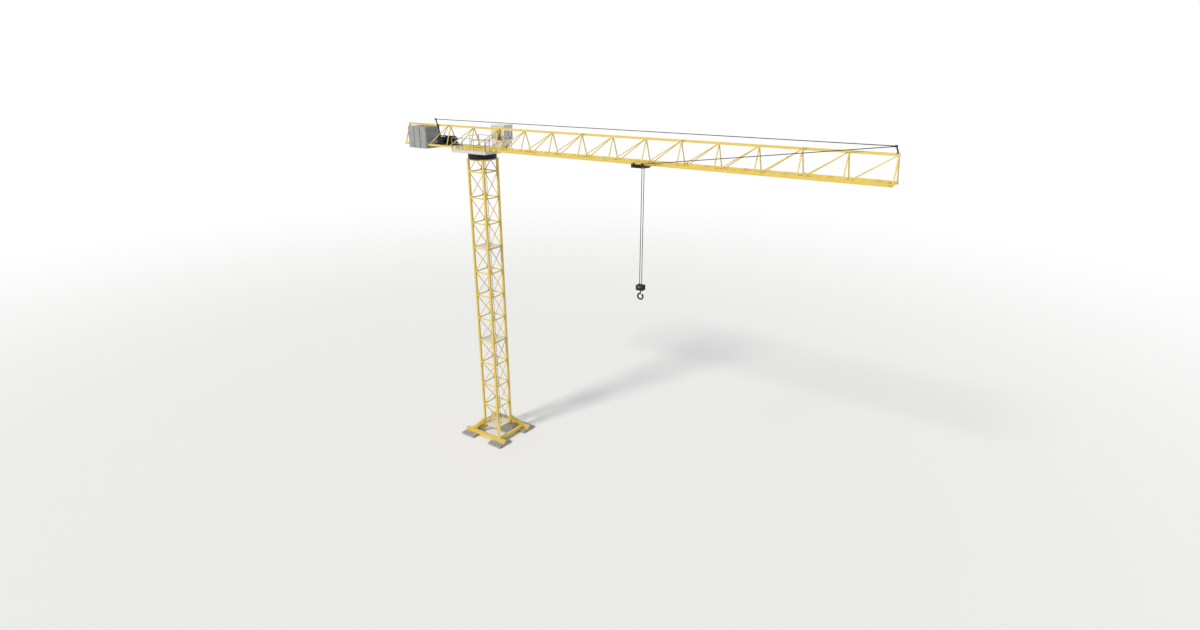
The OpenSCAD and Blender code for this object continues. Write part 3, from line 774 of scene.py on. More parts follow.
@dataclass
class Mast(Assembly):
    """The mast with its decks: gusset plates, joint bolts, ladders and deck hatches."""

    half: float = 0.5
    foot_z: float = 0.475
    bay: float = 1.287
    full_bays: int = 11
    short_bay: float = 0.638
    section_bays: int = 4
    sections: int = 3
    rail: float = 0.05
    deck_t: float = 0.04
    collar: float = 0.057
    ladder_x: float = -0.2
    rung_pitch: float = 0.15

    def decks(self) -> Array:
        """Heights of the decks' tops."""
        section = self.section_bays * self.bay
        return self.foot_z + self.rail + self.deck_t + section * np.arange(self.sections)

    def gussets(self) -> Shape:
        """Plates outside each leg where a rail and a brace meet it, with bolts."""
        thick, inset = 0.008, 0.055
        holes = ((0.03, 0.0), (0.09, 0.0), (-0.02, 0.085))
        outline = np.array([[-0.045, -0.03], [0.13, -0.03], [0.13, 0.03], [0.075, 0.085], [-0.045, 0.13]])
        levels = self.foot_z + self.rail / 2 + self.bay * np.arange(self.sections * self.section_bays)
        left = grid(-self.half + inset, -self.half - self.rail / 2, levels)
        normals, along = (np.repeat(axes, len(levels), 0) for axes in ([-Y, X, Y, -X], [X, Y, -X, -Y]))
        parts = []
        for spots, corners, s in ((left, outline, 1), (left * [-1, 1, 1], outline[::-1] * [-1, 1], -1)):
            parts.append(prism(corners, thick, 0.002).at(quarter_turns(spots), normals, along))
            for dx, dz in holes:
                parts.append(bolt(0.016).at(quarter_turns(spots + [s * dx, -thick, dz]), normals, along))
        return joined(parts)

    def joint_bolts(self) -> Shape:
        """Bolt heads over and under the collars where two sections meet."""
        outer, rise = self.half + self.collar, 0.018
        parts = []
        for k in range(1, self.sections):
            z = self.foot_z + k * self.section_bays * self.bay
            spots = quarter_turns([[self.half, outer, z], [outer, self.half, z]])
            parts += [bolt(0.012).at(spots + [0, 0, rise]), bolt(0.012).at(spots - [0, 0, rise], -Z)]
        return joined(parts)

    def ladder(self) -> Shape:
        """A ladder from each deck to the hatch above it."""
        y, half_w, rung_r, stile_r = 0.31, 0.10, 0.008, 0.012
        under_deck, under_cap = 0.01, 0.02
        starts = self.decks()
        top = self.foot_z + self.full_bays * self.bay + self.short_bay - under_cap
        ends = np.append(starts[1:] - self.deck_t - under_deck, top)
        rung = rod([-half_w, 0, 0], [half_w, 0, 0], rung_r, 6)
        parts = []
        for z0, z1 in zip(starts, ends):
            parts += [rod([x, y, z0], [x, y, z1], stile_r) for x in spread(self.ladder_x, half_w)]
            levels = np.arange(z0 + self.rung_pitch, z1, self.rung_pitch)
            parts.append(rung.at(grid(self.ladder_x, y, levels)))
        return joined(parts)

    def hatches(self) -> Shape:
        """A raised hatch frame and lid with two hinges on each deck."""
        rim_t, lid_t, middle_y, hinge_y, hinge_half = 0.010, 0.008, 0.22, 0.36, 0.025
        spots = grid(self.ladder_x, middle_y, self.decks())
        hinges = grid(spread(self.ladder_x, 0.08), hinge_y, self.decks() + rim_t + lid_t)
        rim, lid = plate(0.34, 0.30, rim_t), plate(0.30, 0.26, lid_t)
        return joined([rim.at(spots), lid.at(spots + [0, 0, rim_t]),
                       rod([-hinge_half, 0, 0], [hinge_half, 0, 0], 0.008).at(hinges)])

    def build(self, maker: Maker) -> None:
        """Makes the mast's pieces."""
        maker.piece("mast_gussets", "yellow", self.gussets(), Body.MAST)
        maker.piece("mast_joint_bolts", "zinc", self.joint_bolts(), Body.MAST)
        maker.piece("mast_ladder", "grey", self.ladder(), Body.MAST)
        maker.piece("deck_hatches", "pale", self.hatches(), Body.MAST)


@dataclass
class Slewing(Assembly):
    """The slewing ring and the platform: ring bolts, seal lips, edge flanges, tread and rail fittings."""

    ring_r: float = 0.7
    lower_bolts_r: float = 0.635
    upper_bolts_r: float = 0.655
    upper_bolts: int = 44
    bolt_size: float = 0.030
    lip_h: float = 0.014
    lip_gap: float = 0.016
    handrail_h: float = 0.55
    handrail_r: float = 0.012
    corner: float = 0.048
    passage: float = 0.475

    def lip(self, z: float) -> Shape:
        """A seal lip round the ring from height z up."""
        inner, outer, slope, top = self.ring_r - 0.01, self.ring_r + 0.006, 0.003, z + self.lip_h
        return lathe([[inner, z], [outer, z + slope], [outer, top - slope], [inner, top]], 96, hollow=True)

    def ring_bolts(self) -> tuple[Shape, Shape]:
        """Bolts under the ring's fixed half, and on top of its turning half."""
        under = circle(self.lower_bolts_r, np.radians(np.linspace(-24, 24, 7)), cad_box("ring_lower")[0][2])
        turns = 2 * np.pi * (np.arange(self.upper_bolts) + 0.5) / self.upper_bolts
        top = circle(self.upper_bolts_r, turns, cad_box("ring_upper")[1][2])
        head = bolt(self.bolt_size)
        return head.at(quarter_turns(under), -Z), head.at(top)

    def platform(self) -> Shape:
        """Flanges along the platform's edges with ribs between them, and its tread."""
        low, high = cad_box("platform")
        mid, size = (low + high) / 2, high - low
        flange, lap, inset = 0.012, 0.011, 0.05
        ribs = grid(np.linspace(low[0] + 0.2, high[0] - 0.2, 6), (low[1], high[1]), low[2] + lap)
        edge = band(size[0] - 0.002, size[1] - 0.002, 0.009, 0.0, flange)
        return joined([edge.at(grid(mid[0], mid[1], (low[2], high[2] - flange))),
                       plate(0.010, 0.016, size[2] - 2 * lap, 0.001).at(ribs),
                       tread(low[0] + inset, high[0] - inset, low[1] + inset, high[1] - inset, high[2])])

    def rails(self) -> Shape:
        """Foot plates under the handrails' posts, and balls where the rails meet them."""
        low, high = cad_box("platform")
        inset, z = 2 * self.handrail_r, high[2]
        back, front, side, far = low[0] + inset, high[0] - inset, low[1] + inset, high[1] - inset
        feet = np.concatenate([
            grid(np.linspace(back, front, 4), (side, far), z),
            grid((back, front), (side + self.corner, -self.passage), z),
            grid(back, (far - self.corner, self.passage), z)])
        foot = lathe([[0.0, 0.0], [0.022, 0.0], [0.022, 0.005], [0.015, 0.009], [0.0, 0.009]], 12)
        joint = ball(self.handrail_r + 0.003, 10)
        rises = (self.handrail_h / 2, self.handrail_h)
        return joined([foot.at(feet), *(joint.at(feet + [0, 0, rise]) for rise in rises)])

    def build(self, maker: Maker) -> None:
        """Makes the pieces of the ring and the platform."""
        gap = cad_box("ring_lower")[1][2]
        under, top = self.ring_bolts()
        maker.piece("ring_lip_lower", "rubber", self.lip(gap - self.lip_gap - self.lip_h), Body.MAST)
        maker.piece("ring_lip_upper", "rubber", self.lip(gap + self.lip_gap))
        maker.piece("ring_bolts_lower", "zinc", under, Body.MAST)
        maker.piece("ring_bolts_upper", "zinc", top)
        maker.piece("platform_flanges", "cream", self.platform())
        maker.piece("rail_fittings", "grey", self.rails())


@dataclass
class Truss(Assembly):
    """The jib and the length over the mast: joint cheeks and pins, bottom bracing and gussets."""

    z: float = 15.7743
    h: float = 0.97
    panel: float = 1.639
    panels: int = 13
    head_reach: float = 2.089
    splice: float = 0.09
    joints: tuple[int, ...] = (2, 5, 8, 11)

    def frame_x(self, i: Array | int) -> Array | float:
        """Distance of frame i from the slewing axis."""
        return np.asarray(i) * self.panel - self.head_reach

    def lugs(self) -> tuple[Shape, Shape]:
        """Plates and pins where two lengths of the truss meet.

        The top chord has cross pins between two cheeks. The bottom chords have upright pins with a plate on
        top and a cheek inside, because the trolley's wheels run along their outer faces.
        """
        thick, reach = 0.010, 0.075
        cheek = plate(0.17, CHORD + 0.016, thick)
        small = plate(0.11, CHORD - 0.010, thick)
        pin = lathe([[0.0, -reach], [0.022, -reach], [0.026, -0.070], [0.026, 0.070], [0.022, reach],
                     [0.0, reach]], 16)
        head = lathe([[0.0, 0.0], [0.024, 0.0], [0.024, 0.013], [0.020, 0.018], [0.0, 0.018]], 16)
        xs = np.append(self.frame_x(self.joints) + self.splice, -self.head_reach - self.splice)
        top_z, lid_z = self.z + self.h, self.z + CHORD / 2
        cheeks, pins = [], [pin.at(grid(spread(xs, 0.035), 0, top_z), Y)]
        for s in SIDES:
            cheeks += [cheek.at(grid(xs, s * CHORD / 2, top_z), s * Y),
                       small.at(grid(xs, s * (TRUSS_HALF - CHORD / 2), self.z), -s * Y),
                       small.at(grid(xs, s * TRUSS_HALF, lid_z))]
            pins.append(head.at(grid(spread(xs, 0.032), s * TRUSS_HALF, lid_z + thick)))
        return joined(cheeks), joined(pins)

    def bracing(self) -> Shape:
        """Level diagonals between the bottom chords, in a zigzag from panel to panel."""
        gap, bar_r, bars = 0.05, 0.017, []
        for i in range(self.panels):
            y = TRUSS_HALF if i % 2 else -TRUSS_HALF
            x0, x1 = self.frame_x(i) + gap, self.frame_x(i + 1) - gap
            bars.append(rod([x0, y, self.z], [x1, -y, self.z], bar_r))
        return joined(bars)

    def gussets(self) -> Shape:
        """Plates on the inside of the bottom chords at each frame's foot, clear of the trolley's wheels."""
        outline = [[-0.11, -0.04], [0.19, -0.04], [0.19, 0.0], [0.12, 0.05], [-0.07, 0.05]]
        xs = self.frame_x(np.arange(1, self.panels))
        return mirrored_plates(outline, grid(xs, TRUSS_HALF - CHORD / 2, self.z))

    def build(self, maker: Maker) -> None:
        """Makes the truss's pieces."""
        cheeks, pins = self.lugs()
        maker.piece("joint_cheeks", "yellow", cheeks)
        maker.piece("joint_pins", "zinc", pins)
        maker.piece("bottom_bracing", "yellow", self.bracing())
        maker.piece("chord_gussets", "yellow", self.gussets())


@dataclass
class Counter(Assembly):
    """The counter-jib and the ballast: lifting loops, tie rods, painted shade in the slab grooves and
    gussets.
    """

    tie_y: float = 0.24
    tie_z: tuple[float, float] = (16.02, 16.46)
    middle_frame_x: float = -3.34

    def loops(self) -> Shape:
        """Two lifting loops on each slab, bent along the jib."""
        y, sunk = 0.33, 0.002
        spots = [grid(cad_middle(slab)[0], (-y, y), cad_box(slab)[1][2] - sunk) for slab in SLABS]
        return arch(0.11, 0.05, 0.010).at(np.concatenate(spots))

    def ties(self) -> tuple[Shape, Shape]:
        """Square plates and nuts at both ends of the rods that clamp the slabs together."""
        thick, plates, nuts = 0.012, [], []
        for x, normal in ((cad_box(SLABS[0])[1][0], X), (cad_box(SLABS[-1])[0][0], -X)):
            spots = grid(x, (-self.tie_y, self.tie_y), self.tie_z)
            plates.append(plate(0.11, 0.11, thick).at(spots, normal, Y))
            nuts.append(bolt(0.045).at(spots + thick * normal, normal, Y))
            nuts += [rod(p + 0.01 * normal, p + 0.065 * normal, 0.012, 10) for p in spots]
        return joined(plates), joined(nuts)

    def groove_shade_strips(self) -> Shape:
        """Black strips at the foot of the grooves between the slabs, up both sides: painted shade in the
        grooves.
        """
        inset, gap, ahead, parts = 0.008, 0.01, 0.003, []
        for slab in SLABS[1:]:
            low, high = cad_box(slab)
            # painted shade: a black strip set into each groove between two slabs
            strip = plate(0.026, 0.012, high[2] - low[2] - 2 * gap, 0.001)
            parts.append(strip.at(grid(high[0] + ahead, (low[1] + inset, high[1] - inset), low[2] + gap)))
        return joined(parts)

    def gussets(self) -> Shape:
        """Plates outside the bottom chords at the feet of the counter-jib's frames."""
        low, high = cad_box("counter_jib")
        outline = [[-0.10, -0.04], [0.12, -0.04], [0.12, 0.0], [0.07, 0.05], [-0.07, 0.05]]
        feet = [low[0] + 0.13, self.middle_frame_x, high[0] - 0.16]
        return mirrored_plates(outline, grid(feet, -TRUSS_HALF - CHORD / 2, low[2] + CHORD / 2))

    def build(self, maker: Maker) -> None:
        """Makes the counter-jib's pieces."""
        plates, nuts = self.ties()
        maker.piece("ballast_loops", "zinc", self.loops())
        maker.piece("ballast_tie_plates", "grey", plates)
        maker.piece("ballast_tie_nuts", "zinc", nuts)
        maker.piece("counter_gussets", "yellow", self.gussets())
        # painted shade in the slab grooves, given the black rubber finish
        maker.piece("slab_groove_shade", "rubber", self.groove_shade_strips())


@dataclass
class Winch(Assembly):
    """The hoist winch: the rope on its drum, bearing caps, cooling fins and bolts."""

    drum_r: float = 0.15
    reach: float = 0.205
    face: float = 0.25
    lay: float = 0.06

    def windings(self) -> Shape:
        """Rope on the drum: axis + R (cos t, sin t) with y rising a little over one rope width a turn.

        The rope's radius is r (0.86 + 0.14 |cos(3 (a - R t / lay))|).
        """
        x, _, z = cad_middle("winch_drum")
        pitch, sides, rings_a_turn = 2.06 * ROPE_R, 12, 28
        turns = 2 * self.reach / pitch - 1
        t = np.linspace(0, 2 * np.pi * turns, int(rings_a_turn * turns))
        r = self.drum_r + ROPE_R - 0.001
        y = -self.reach + pitch / 2 + pitch * t / (2 * np.pi)
        path = upright(r, r, t) + np.stack([0 * t + x, y, 0 * t + z], -1)
        wave = np.abs(np.cos(3 * (angles(sides) - r * t[:, None] / self.lay)))
        return tube(path, ROPE_R * (0.86 + 0.14 * wave), sides, Y)

    def bearings(self) -> tuple[Shape, Shape]:
        """Round bearing caps on both stands, with six bolts each."""
        x, _, z = cad_middle("winch_drum")
        rim = 0.014
        cap = lathe([[0.0, 0.0], [0.075, 0.0], [0.075, rim], [0.045, 0.020], [0.040, 0.036],
                     [0.0, 0.038]], 32)
        ring = upright(0.06, 0.06, angles(6))
        caps = [cap.at([x, s * self.face, z], s * Y) for s in SIDES]
        heads = [bolt(0.013).at(ring + [x, s * (self.face + rim), z], s * Y) for s in SIDES]
        return joined(caps), joined(heads)

    def fins(self) -> Shape:
        """Cooling fins on both sides of the motor and over its top."""
        low, high = cad_box("winch_motor")
        thick, start, length, top = 0.008, low[0] + 0.03, 0.40, high[2]
        side_y, drop, height, ridge_y, sunk = 0.144, 0.34, 0.31, 0.11, 0.002
        sides = grid(np.linspace(start, start + length, 14), spread(0, side_y), top - drop)
        ridges = grid(start + length / 2, np.linspace(-ridge_y, ridge_y, 9), top - sunk)
        return joined([plate(thick, 0.020, height, 0.001).at(sides),
                       plate(length, thick, 0.018, 0.001).at(ridges)])

    def feet(self) -> Shape:
        """Bolts that hold the cross members of motor and stands to the chords."""
        spots = []
        for node, rise, far in (("winch_motor", 0.024, 0.32), ("winch_frame", 0.05, 0.45)):
            low = cad_box(node)[0]
            spots.append(grid(low[0] + np.array([0.03, far]), spread(0, TRUSS_HALF), low[2] + rise))
        return bolt(0.022).at(np.concatenate(spots))

    def build(self, maker: Maker) -> None:
        """Makes the winch's pieces."""
        caps, heads = self.bearings()
        maker.piece("drum_rope", "rope", self.windings(), Body.DRUM)
        maker.piece("bearing_caps", "black", caps)
        maker.piece("motor_fins", "black", self.fins())
        maker.piece("winch_bolts", "zinc", joined([heads, self.feet()]))


@dataclass(frozen=True)
class Window:
    """A window: its centre on the cab's outer face, the face's normal, and its size."""

    centre: Array
    normal: Array
    w: float
    h: float

    def put(self, shape: Shape, depth: float = 0.0) -> Shape:
        """Places a shape in the window, at a depth below the face."""
        return shape.at(self.centre - depth * self.normal, self.normal, np.cross(Z, self.normal))


@dataclass
class Cab(Assembly):
    """The driver's cab: glass, window seals, wiper, edge trims, rear door, grab rails and roof.

    The knee, the sills, the lintel and the side windows' span are shares of the cab's height or length.
    """

    x: float = 0.206
    y: float = 0.5
    z: float = 15.7893
    length: float = 0.841
    floor: float = 0.56
    width: float = 0.608
    height: float = 1.077
    roof_t: float = 0.06
    knee: float = 0.38
    sill: float = 0.43
    side_sill: float = 0.35
    lintel: float = 0.8
    side_span: tuple[float, float] = (0.46, 0.76)
    pillars: float = 0.12
    trim_r: float = 0.009
    pane_t: float = 0.008

    def windows(self) -> dict[str, Window]:
        """The front window and the two side windows."""
        bottom, top, low = (self.z + k * self.height for k in (self.sill, self.lintel, self.side_sill))
        x0, x1 = (self.x + k * self.length for k in self.side_span)
        front = np.array([self.x + self.length, self.y + self.width / 2, (bottom + top) / 2])
        side = np.array([(x0 + x1) / 2, self.y, (low + top) / 2])
        return {
            "front": Window(front, X, self.width - self.pillars, top - bottom),
            "near": Window(side, -Y, x1 - x0, top - low),
            "far": Window(side + self.width * Y, Y, x1 - x0, top - low),
        }

    def panes(self, *keys: str) -> Shape:
        """Panes that are flush with the cab's faces."""
        chosen = (self.windows()[key] for key in keys)
        return joined([w.put(plate(w.w, w.h, self.pane_t, 0.001), self.pane_t) for w in chosen])

    def seals(self) -> Shape:
        """Rubber seals round the windows, and the wiper on the front one."""
        lap, windows = 0.016, self.windows()
        parts = [w.put(band(w.w - lap, w.h - lap, 0.018, -0.004, 0.006)) for w in windows.values()]
        front = windows["front"]
        foot = front.centre + [0.014, 0.10, -front.h / 2 - 0.02]
        tip = front.centre + [0.014, -0.05, 0.06]
        blade = tip + [[-0.004, 0.02, -0.13], [-0.004, 0.02, 0.10]]
        parts += [rod(foot, tip, 0.005, 6), rod(*blade, 0.006, 6)]
        parts.append(plate(0.018, 0.05, 0.032).at(foot - [0.005, 0, 0.02]))
        return joined(parts)

    def trims(self) -> Shape:
        """Round trims along the cab's folded edges."""
        x0, x1, top, r = self.x, self.x + self.length, self.height - self.roof_t, self.trim_r
        outline = [(x0, 0.0), (x0 + self.floor, 0.0), (x1, self.knee * self.height), (x1, top), (x0, top)]
        corners = np.array([[x, self.y, self.z + z] for x, z in outline])
        inset, parts = 0.002, []
        for y in (inset, self.width - inset):
            loop = corners + [0, y, 0]
            parts += [rod(p, q, r) for p, q in zip(loop, np.roll(loop, -1, 0))]
            parts.append(ball(r, 8).at(loop))
        parts += [rod(c + 2 * inset * Y, c + (self.width - 2 * inset) * Y, r) for c in corners[1:4]]
        return joined(parts)

    def roof(self) -> Shape:
        """A gutter round the roof and a low crown on it."""
        low, high = cad_box("cab_roof")
        mid, size = (low + high) / 2, high - low
        gutter = band(size[0] - 0.002, size[1] - 0.002, 0.010, 0.0, 0.014)
        crown = plate(size[0] - 0.05, size[1] - 0.05, 0.016, 0.007)
        return joined([gutter.at([mid[0], mid[1], low[2]]), crown.at([mid[0], mid[1], high[2] - 0.002])])

    def door(self) -> tuple[Shape, Shape]:
        """A door in the rear face: its raised leaf and frame, and its hinges, handle and grab rails."""
        mid = np.array([self.x, self.y + 0.34, self.z + 0.49])
        w, h, gap = 0.40, 0.90, 0.012
        light = mid + 0.2 * Z
        leaf = [plate(w, h, 0.008).at(mid, -X, Y), band(w + gap, h + gap, 0.014, 0.0, 0.005).at(mid, -X, Y),
                band(0.24, 0.34, 0.010, 0.006, 0.012).at(light, -X, Y)]
        hinge = rod([0, 0, -0.04], [0, 0, 0.04], 0.009)
        iron = [hinge.at(mid + [[-0.014, 0.205, z] for z in (-0.32, 0.32)]),
                arch(0.12, 0.035, 0.006).at(mid + [-0.006, -0.15, -0.02], -X, Z),
                arch(0.5, 0.045, 0.009).at(mid + [[0, y, 0.02] for y in (-0.29, 0.23)], -X, Z)]
        return joined(leaf), joined(iron)

    def build(self, maker: Maker) -> None:
        """Makes the cab's pieces."""
        maker.piece("front_pane", "front_glass", self.panes("front"), replaces=("cab_panes",))
        maker.piece("side_panes", "side_glass", self.panes("near", "far"))
        leaf, iron = self.door()
        maker.piece("window_seals", "rubber", self.seals())
        maker.piece("cab_trims", "white", self.trims())
        maker.piece("roof_trim", "white", self.roof())
        maker.piece("cab_door", "white", leaf)
        maker.piece("cab_door_iron", "black", iron)


@dataclass
class Posts(Assembly):
    """The rope posts and the jib's ends: foot plates, sheaves, rope ends and trolley stops."""

    rear_foot: Point = (-2.7531, -0.112, 16.2453)
    rear_head: Point = (-3.012, -0.112, 17.0443)
    tip_foot: Point = (19.183, 0.0, 16.7893)
    tip_head: Point = (19.098, 0.0, 17.0193)
    stop_x: tuple[float, float] = (1.315, 19.17)
    stop_y: float = 0.44

    def plates(self) -> tuple[Shape, Shape]:
        """Plates at the posts' feet and heads, and the foot plates' bolts."""
        feet = np.array([self.rear_foot, self.tip_foot]) + [[0, 0, 0], [-0.02, 0, 0]]
        heads = np.array([self.rear_head, self.tip_head]) + [-0.003, 0, 0.026]
        thick = 0.010
        shapes = [plate(0.085, 0.13, thick).at(feet), plate(0.078, 0.084, 0.0085, 0.00255).at(heads)]
        spots = [foot + grid((-0.028, 0.028), (-0.05, 0.05), thick) for foot in feet]
        return joined(shapes), bolt(0.015).at(np.concatenate(spots))

    def sheaves(self) -> Shape:
        """Small grooved sheaves beside the two heads."""
        r, half_w, rim = 0.030, 0.013, 0.009
        wheel = lathe([[0.0, -half_w], [r, -half_w], [r, -rim], [0.021, 0.0], [r, rim], [r, half_w],
                       [0.0, half_w]], 24)
        rear, tip, near, far = np.array(self.rear_head), np.array(self.tip_head), 0.05 * Y, 0.14 * Y
        return wheel.at([rear - near, rear + near, tip + near, tip - far], Y)

    def stops(self) -> tuple[Shape, Shape]:
        """Stops with rubber buffers on the runway flanges at both ends of the trolley's way."""
        blocks, pads = [], []
        pad = lathe([[0.0, 0.0], [0.016, 0.0], [0.020, 0.014], [0.014, 0.022], [0.0, 0.024]], 14)
        length = 0.044
        for x, s in zip(self.stop_x, (1, -1)):
            spots = grid(x, (-self.stop_y, self.stop_y), cad_box("jib_tip")[0][2] + 0.014)
            blocks.append(plate(length, 0.052, 0.055, 0.004).at(spots))
            pads.append(pad.at(spots + [s * length / 2, 0, 0.032], s * X, Y))
        return joined(blocks), joined(pads)

    def ends(self) -> Shape:
        """Ball ends where the ropes meet the upperworks."""
        rear, tip, reach = np.array(self.rear_head), np.array(self.tip_head), 0.038
        return ball(0.024, 14).at([rear + reach * X, tip - reach * X, tip + [-reach, -0.090, -0.010]])

    def build(self, maker: Maker) -> None:
        """Makes the pieces of the posts and the ends."""
        plates, heads = self.plates()
        blocks, pads = self.stops()
        maker.piece("post_plates", "black", plates)
        maker.piece("post_bolts", "zinc", heads)
        maker.piece("post_sheaves", "steel", self.sheaves())
        maker.piece("trolley_stops", "yellow", blocks)
        maker.piece("trolley_buffers", "rubber", pads)
        maker.piece("rope_ends", "steel", self.ends())


@dataclass
class Trolley(Assembly):
    """The trolley: wheel hubs, axle nuts, plate bolts, sheave keepers and the rope's end."""

    plate_y: float = 0.49
    wheel_base: float = 0.4
    wheel_y: float = 0.456
    fall_gap: float = 0.105
    rope_end: Point = (0.276, -0.5125, 15.7653)
    axles: Array = field(init=False)
    pins: Array = field(init=False)
    wheel_z: float = field(init=False)
    sheave_z: float = field(init=False)

    def __post_init__(self) -> None:
        """Works out where the axles of the wheels and the pins of the sheaves are."""
        self.axles, self.pins = spread(TROLLEY_X, self.wheel_base / 2), spread(TROLLEY_X, self.fall_gap)
        self.wheel_z, self.sheave_z = cad_middle("trolley_wheels")[2], cad_middle("trolley_sheaves")[2]

    def nuts(self) -> Shape:
        """Axle nuts outside the plates, pin nuts at the sheaves, and a row of bolts along each plate."""
        row = spread(spread(TROLLEY_X, 0.265), 0.02)
        sets = ((self.axles, self.plate_y, self.wheel_z, 0.030), (self.pins, 0.042, self.sheave_z, 0.026),
                (row, self.plate_y, self.sheave_z + 0.052, 0.016))
        return joined([bolt(across).at(grid(xs, s * y, z), s * Y)
                       for xs, y, z, across in sets for s in SIDES])

    def hubs(self) -> Shape:
        """Raised hubs on the wheels' outer faces, away from the chords."""
        hub = lathe([[0.0, 0.0], [0.020, 0.0], [0.017, 0.006], [0.0, 0.008]], 20)
        return joined([hub.at(grid(self.axles, s * self.wheel_y, self.wheel_z), s * Y) for s in SIDES])

    def keepers(self) -> Shape:
        """Bent guards over the sheaves, and a stiffening rib along each side plate."""
        guard = tube(upright(0.074, 0.074, np.radians(np.linspace(20, 160, 15))), 0.006, 8, Y)
        rib_z = cad_box("trolley_frame")[0][2] + 0.034
        rib = plate(0.58, 0.016, 0.012, 0.002)
        return joined([guard.at(grid(self.pins, 0, self.sheave_z)),
                       rib.at(grid(TROLLEY_X, spread(0, self.plate_y + 0.006), rib_z))])

    def build(self, maker: Maker) -> None:
        """Makes the trolley's pieces."""
        maker.piece("trolley_nuts", "zinc", self.nuts(), Body.TROLLEY)
        maker.piece("wheel_hubs", "steel", self.hubs(), Body.TROLLEY)
        maker.piece("sheave_keepers", "black", self.keepers(), Body.TROLLEY)
        end = ball(0.022, 14).at(TROLLEY_X * X + self.rope_end)
        maker.piece("trolley_rope_end", "steel", end, Body.TROLLEY)


@dataclass
class HookBlock(Assembly):
    """The hook block and the hook: cheek plates, axle nuts, swivel collar and safety latch."""

    block_z: float = 10.17
    hook_z: float = 9.868
    hook_r: float = 0.133
    cheek_t: float = 0.010

    def cheeks(self) -> Shape:
        """Raised plates on the block's long sides, and a rim round its foot."""
        low, high = cad_box("hook_block")
        mid, size = (low + high) / 2, high - low
        cheek = plate(size[0] - 0.06, size[2] - 0.05, self.cheek_t, 0.004)
        rim = band(size[0] - 0.002, size[1] - 0.002, 0.005, 0.0, 0.016)
        return joined([cheek.at(grid(mid[0], (low[1], high[1]), mid[2]), [-Y, Y]),
                       rim.at([mid[0], mid[1], low[2]])])

    def nuts(self) -> Shape:
        """The sheave's axle nuts and four bolts on each side."""
        low, high = cad_box("hook_block")
        axle_z = cad_middle("block_sheave")[2]
        parts = []
        for y, s in ((low[1] - self.cheek_t, -1), (high[1] + self.cheek_t, 1)):
            parts += [bolt(0.048).at([TROLLEY_X, y, axle_z], s * Y),
                      bolt(0.022).at(grid(spread(TROLLEY_X, 0.115), y, low[2] + [0.05, 0.18]), s * Y)]
        return joined(parts)

    def swivel(self) -> Shape:
        """A collar under the block and a ring nut on the hook's shank."""
        collar = lathe([[0.0, -0.034], [0.034, -0.034], [0.046, -0.024], [0.046, -0.008], [0.038, -0.001],
                        [0.0, -0.001]], 28)
        nut = prism(polygon(6, 0.040), 0.022, 0.004)
        middle = np.array([TROLLEY_X, 0, self.block_z])
        return joined([collar.at(middle), nut.at(middle - 0.058 * Z)])

    def latch(self) -> Shape:
        """A sprung tongue across the hook's mouth, from the back's inner side to the tip."""
        ring = upright(self.hook_r, self.hook_r, np.radians([112, 45])) + [TROLLEY_X, 0, self.hook_z]
        start, end = ring + [[0.012, 0, -0.040], [-0.030, 0, -0.022]]
        way = unit(end - start)
        outline = np.array([[0.0, -0.012], [1.0, -0.008], [1.0, 0.008], [0.0, 0.012]])
        tongue = prism(outline * [np.linalg.norm(end - start), 1], 0.006, 0.001)
        pin = rod(start - 0.022 * Y, start + 0.022 * Y, 0.008, 10)
        return joined([tongue.at(start, np.cross(way, Y), way), pin])

    def build(self, maker: Maker) -> None:
        """Makes the pieces of the block and the hook."""
        maker.piece("block_cheeks", "black", self.cheeks(), Body.BLOCK)
        maker.piece("block_nuts", "zinc", self.nuts(), Body.BLOCK)
        maker.piece("hook_swivel_nut", "steel", self.swivel(), Body.HOOK)
        maker.piece("hook_latch", "zinc", self.latch(), Body.HOOK)


@dataclass
class Ropes(Assembly):
    """The three sets of rope, laid in strands. Each end is given by its y and z."""

    pitch: float = 0.22
    rear: tuple[float, float] = (-0.112, 17.0443)
    tip: tuple[float, float] = (0.0, 17.0193)
    trolley: tuple[float, float] = (-0.5125, 15.7653)
    tip_low: tuple[float, float] = (-0.090, 17.0093)
    fall_r: float = 0.016

    def straight_blend(self, obj: bpy.types.Object, a: Body, b: Body, start: Array, end: Array) -> None:
        """Bakes the rope's placement into its mesh and reads its points.

        Args:
            obj: the rope.
            a: the body at the start; not used.
            b: the body at the end; not used.
            start: the rope's first point; not used.
            end: the rope's last point; not used.
        """
        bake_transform(obj)
        co = np.zeros(len(obj.data.vertices) * 3, np.float32)
        obj.data.vertices.foreach_get("co", co)

    def build(self, maker: Maker) -> None:
        """Makes the ropes, each in place of its CAD bar."""
        low, high = cad_box("top_rope")
        shape = strand([low[0], *self.rear], [high[0], *self.tip], self.pitch)
        maker.piece("top_rope_laid", "rope", shape, replaces=("top_rope",))
        low, high = cad_box("trolley_rope")
        p, q = np.array([low[0], *self.trolley]), np.array([high[0], *self.tip_low])
        rope = maker.piece("trolley_rope_laid", "rope", strand(p, q, self.pitch), replaces=("trolley_rope",),
                           ride=False)
        self.straight_blend(rope, Body.TROLLEY, Body.UPPER, p, q)
        low, high = cad_box("hoist_falls")
        xs = (low[0] + self.fall_r, high[0] - self.fall_r)
        falls = joined([strand([x, 0, low[2]], [x, 0, high[2]], self.pitch) for x in xs])
        rope = maker.piece("hoist_falls_laid", "rope", falls, replaces=("hoist_falls",), ride=False)
        top, foot = (np.array([xs[0], 0, z]) for z in (high[2], low[2]))
        self.straight_blend(rope, Body.TROLLEY, Body.BLOCK, top, foot)


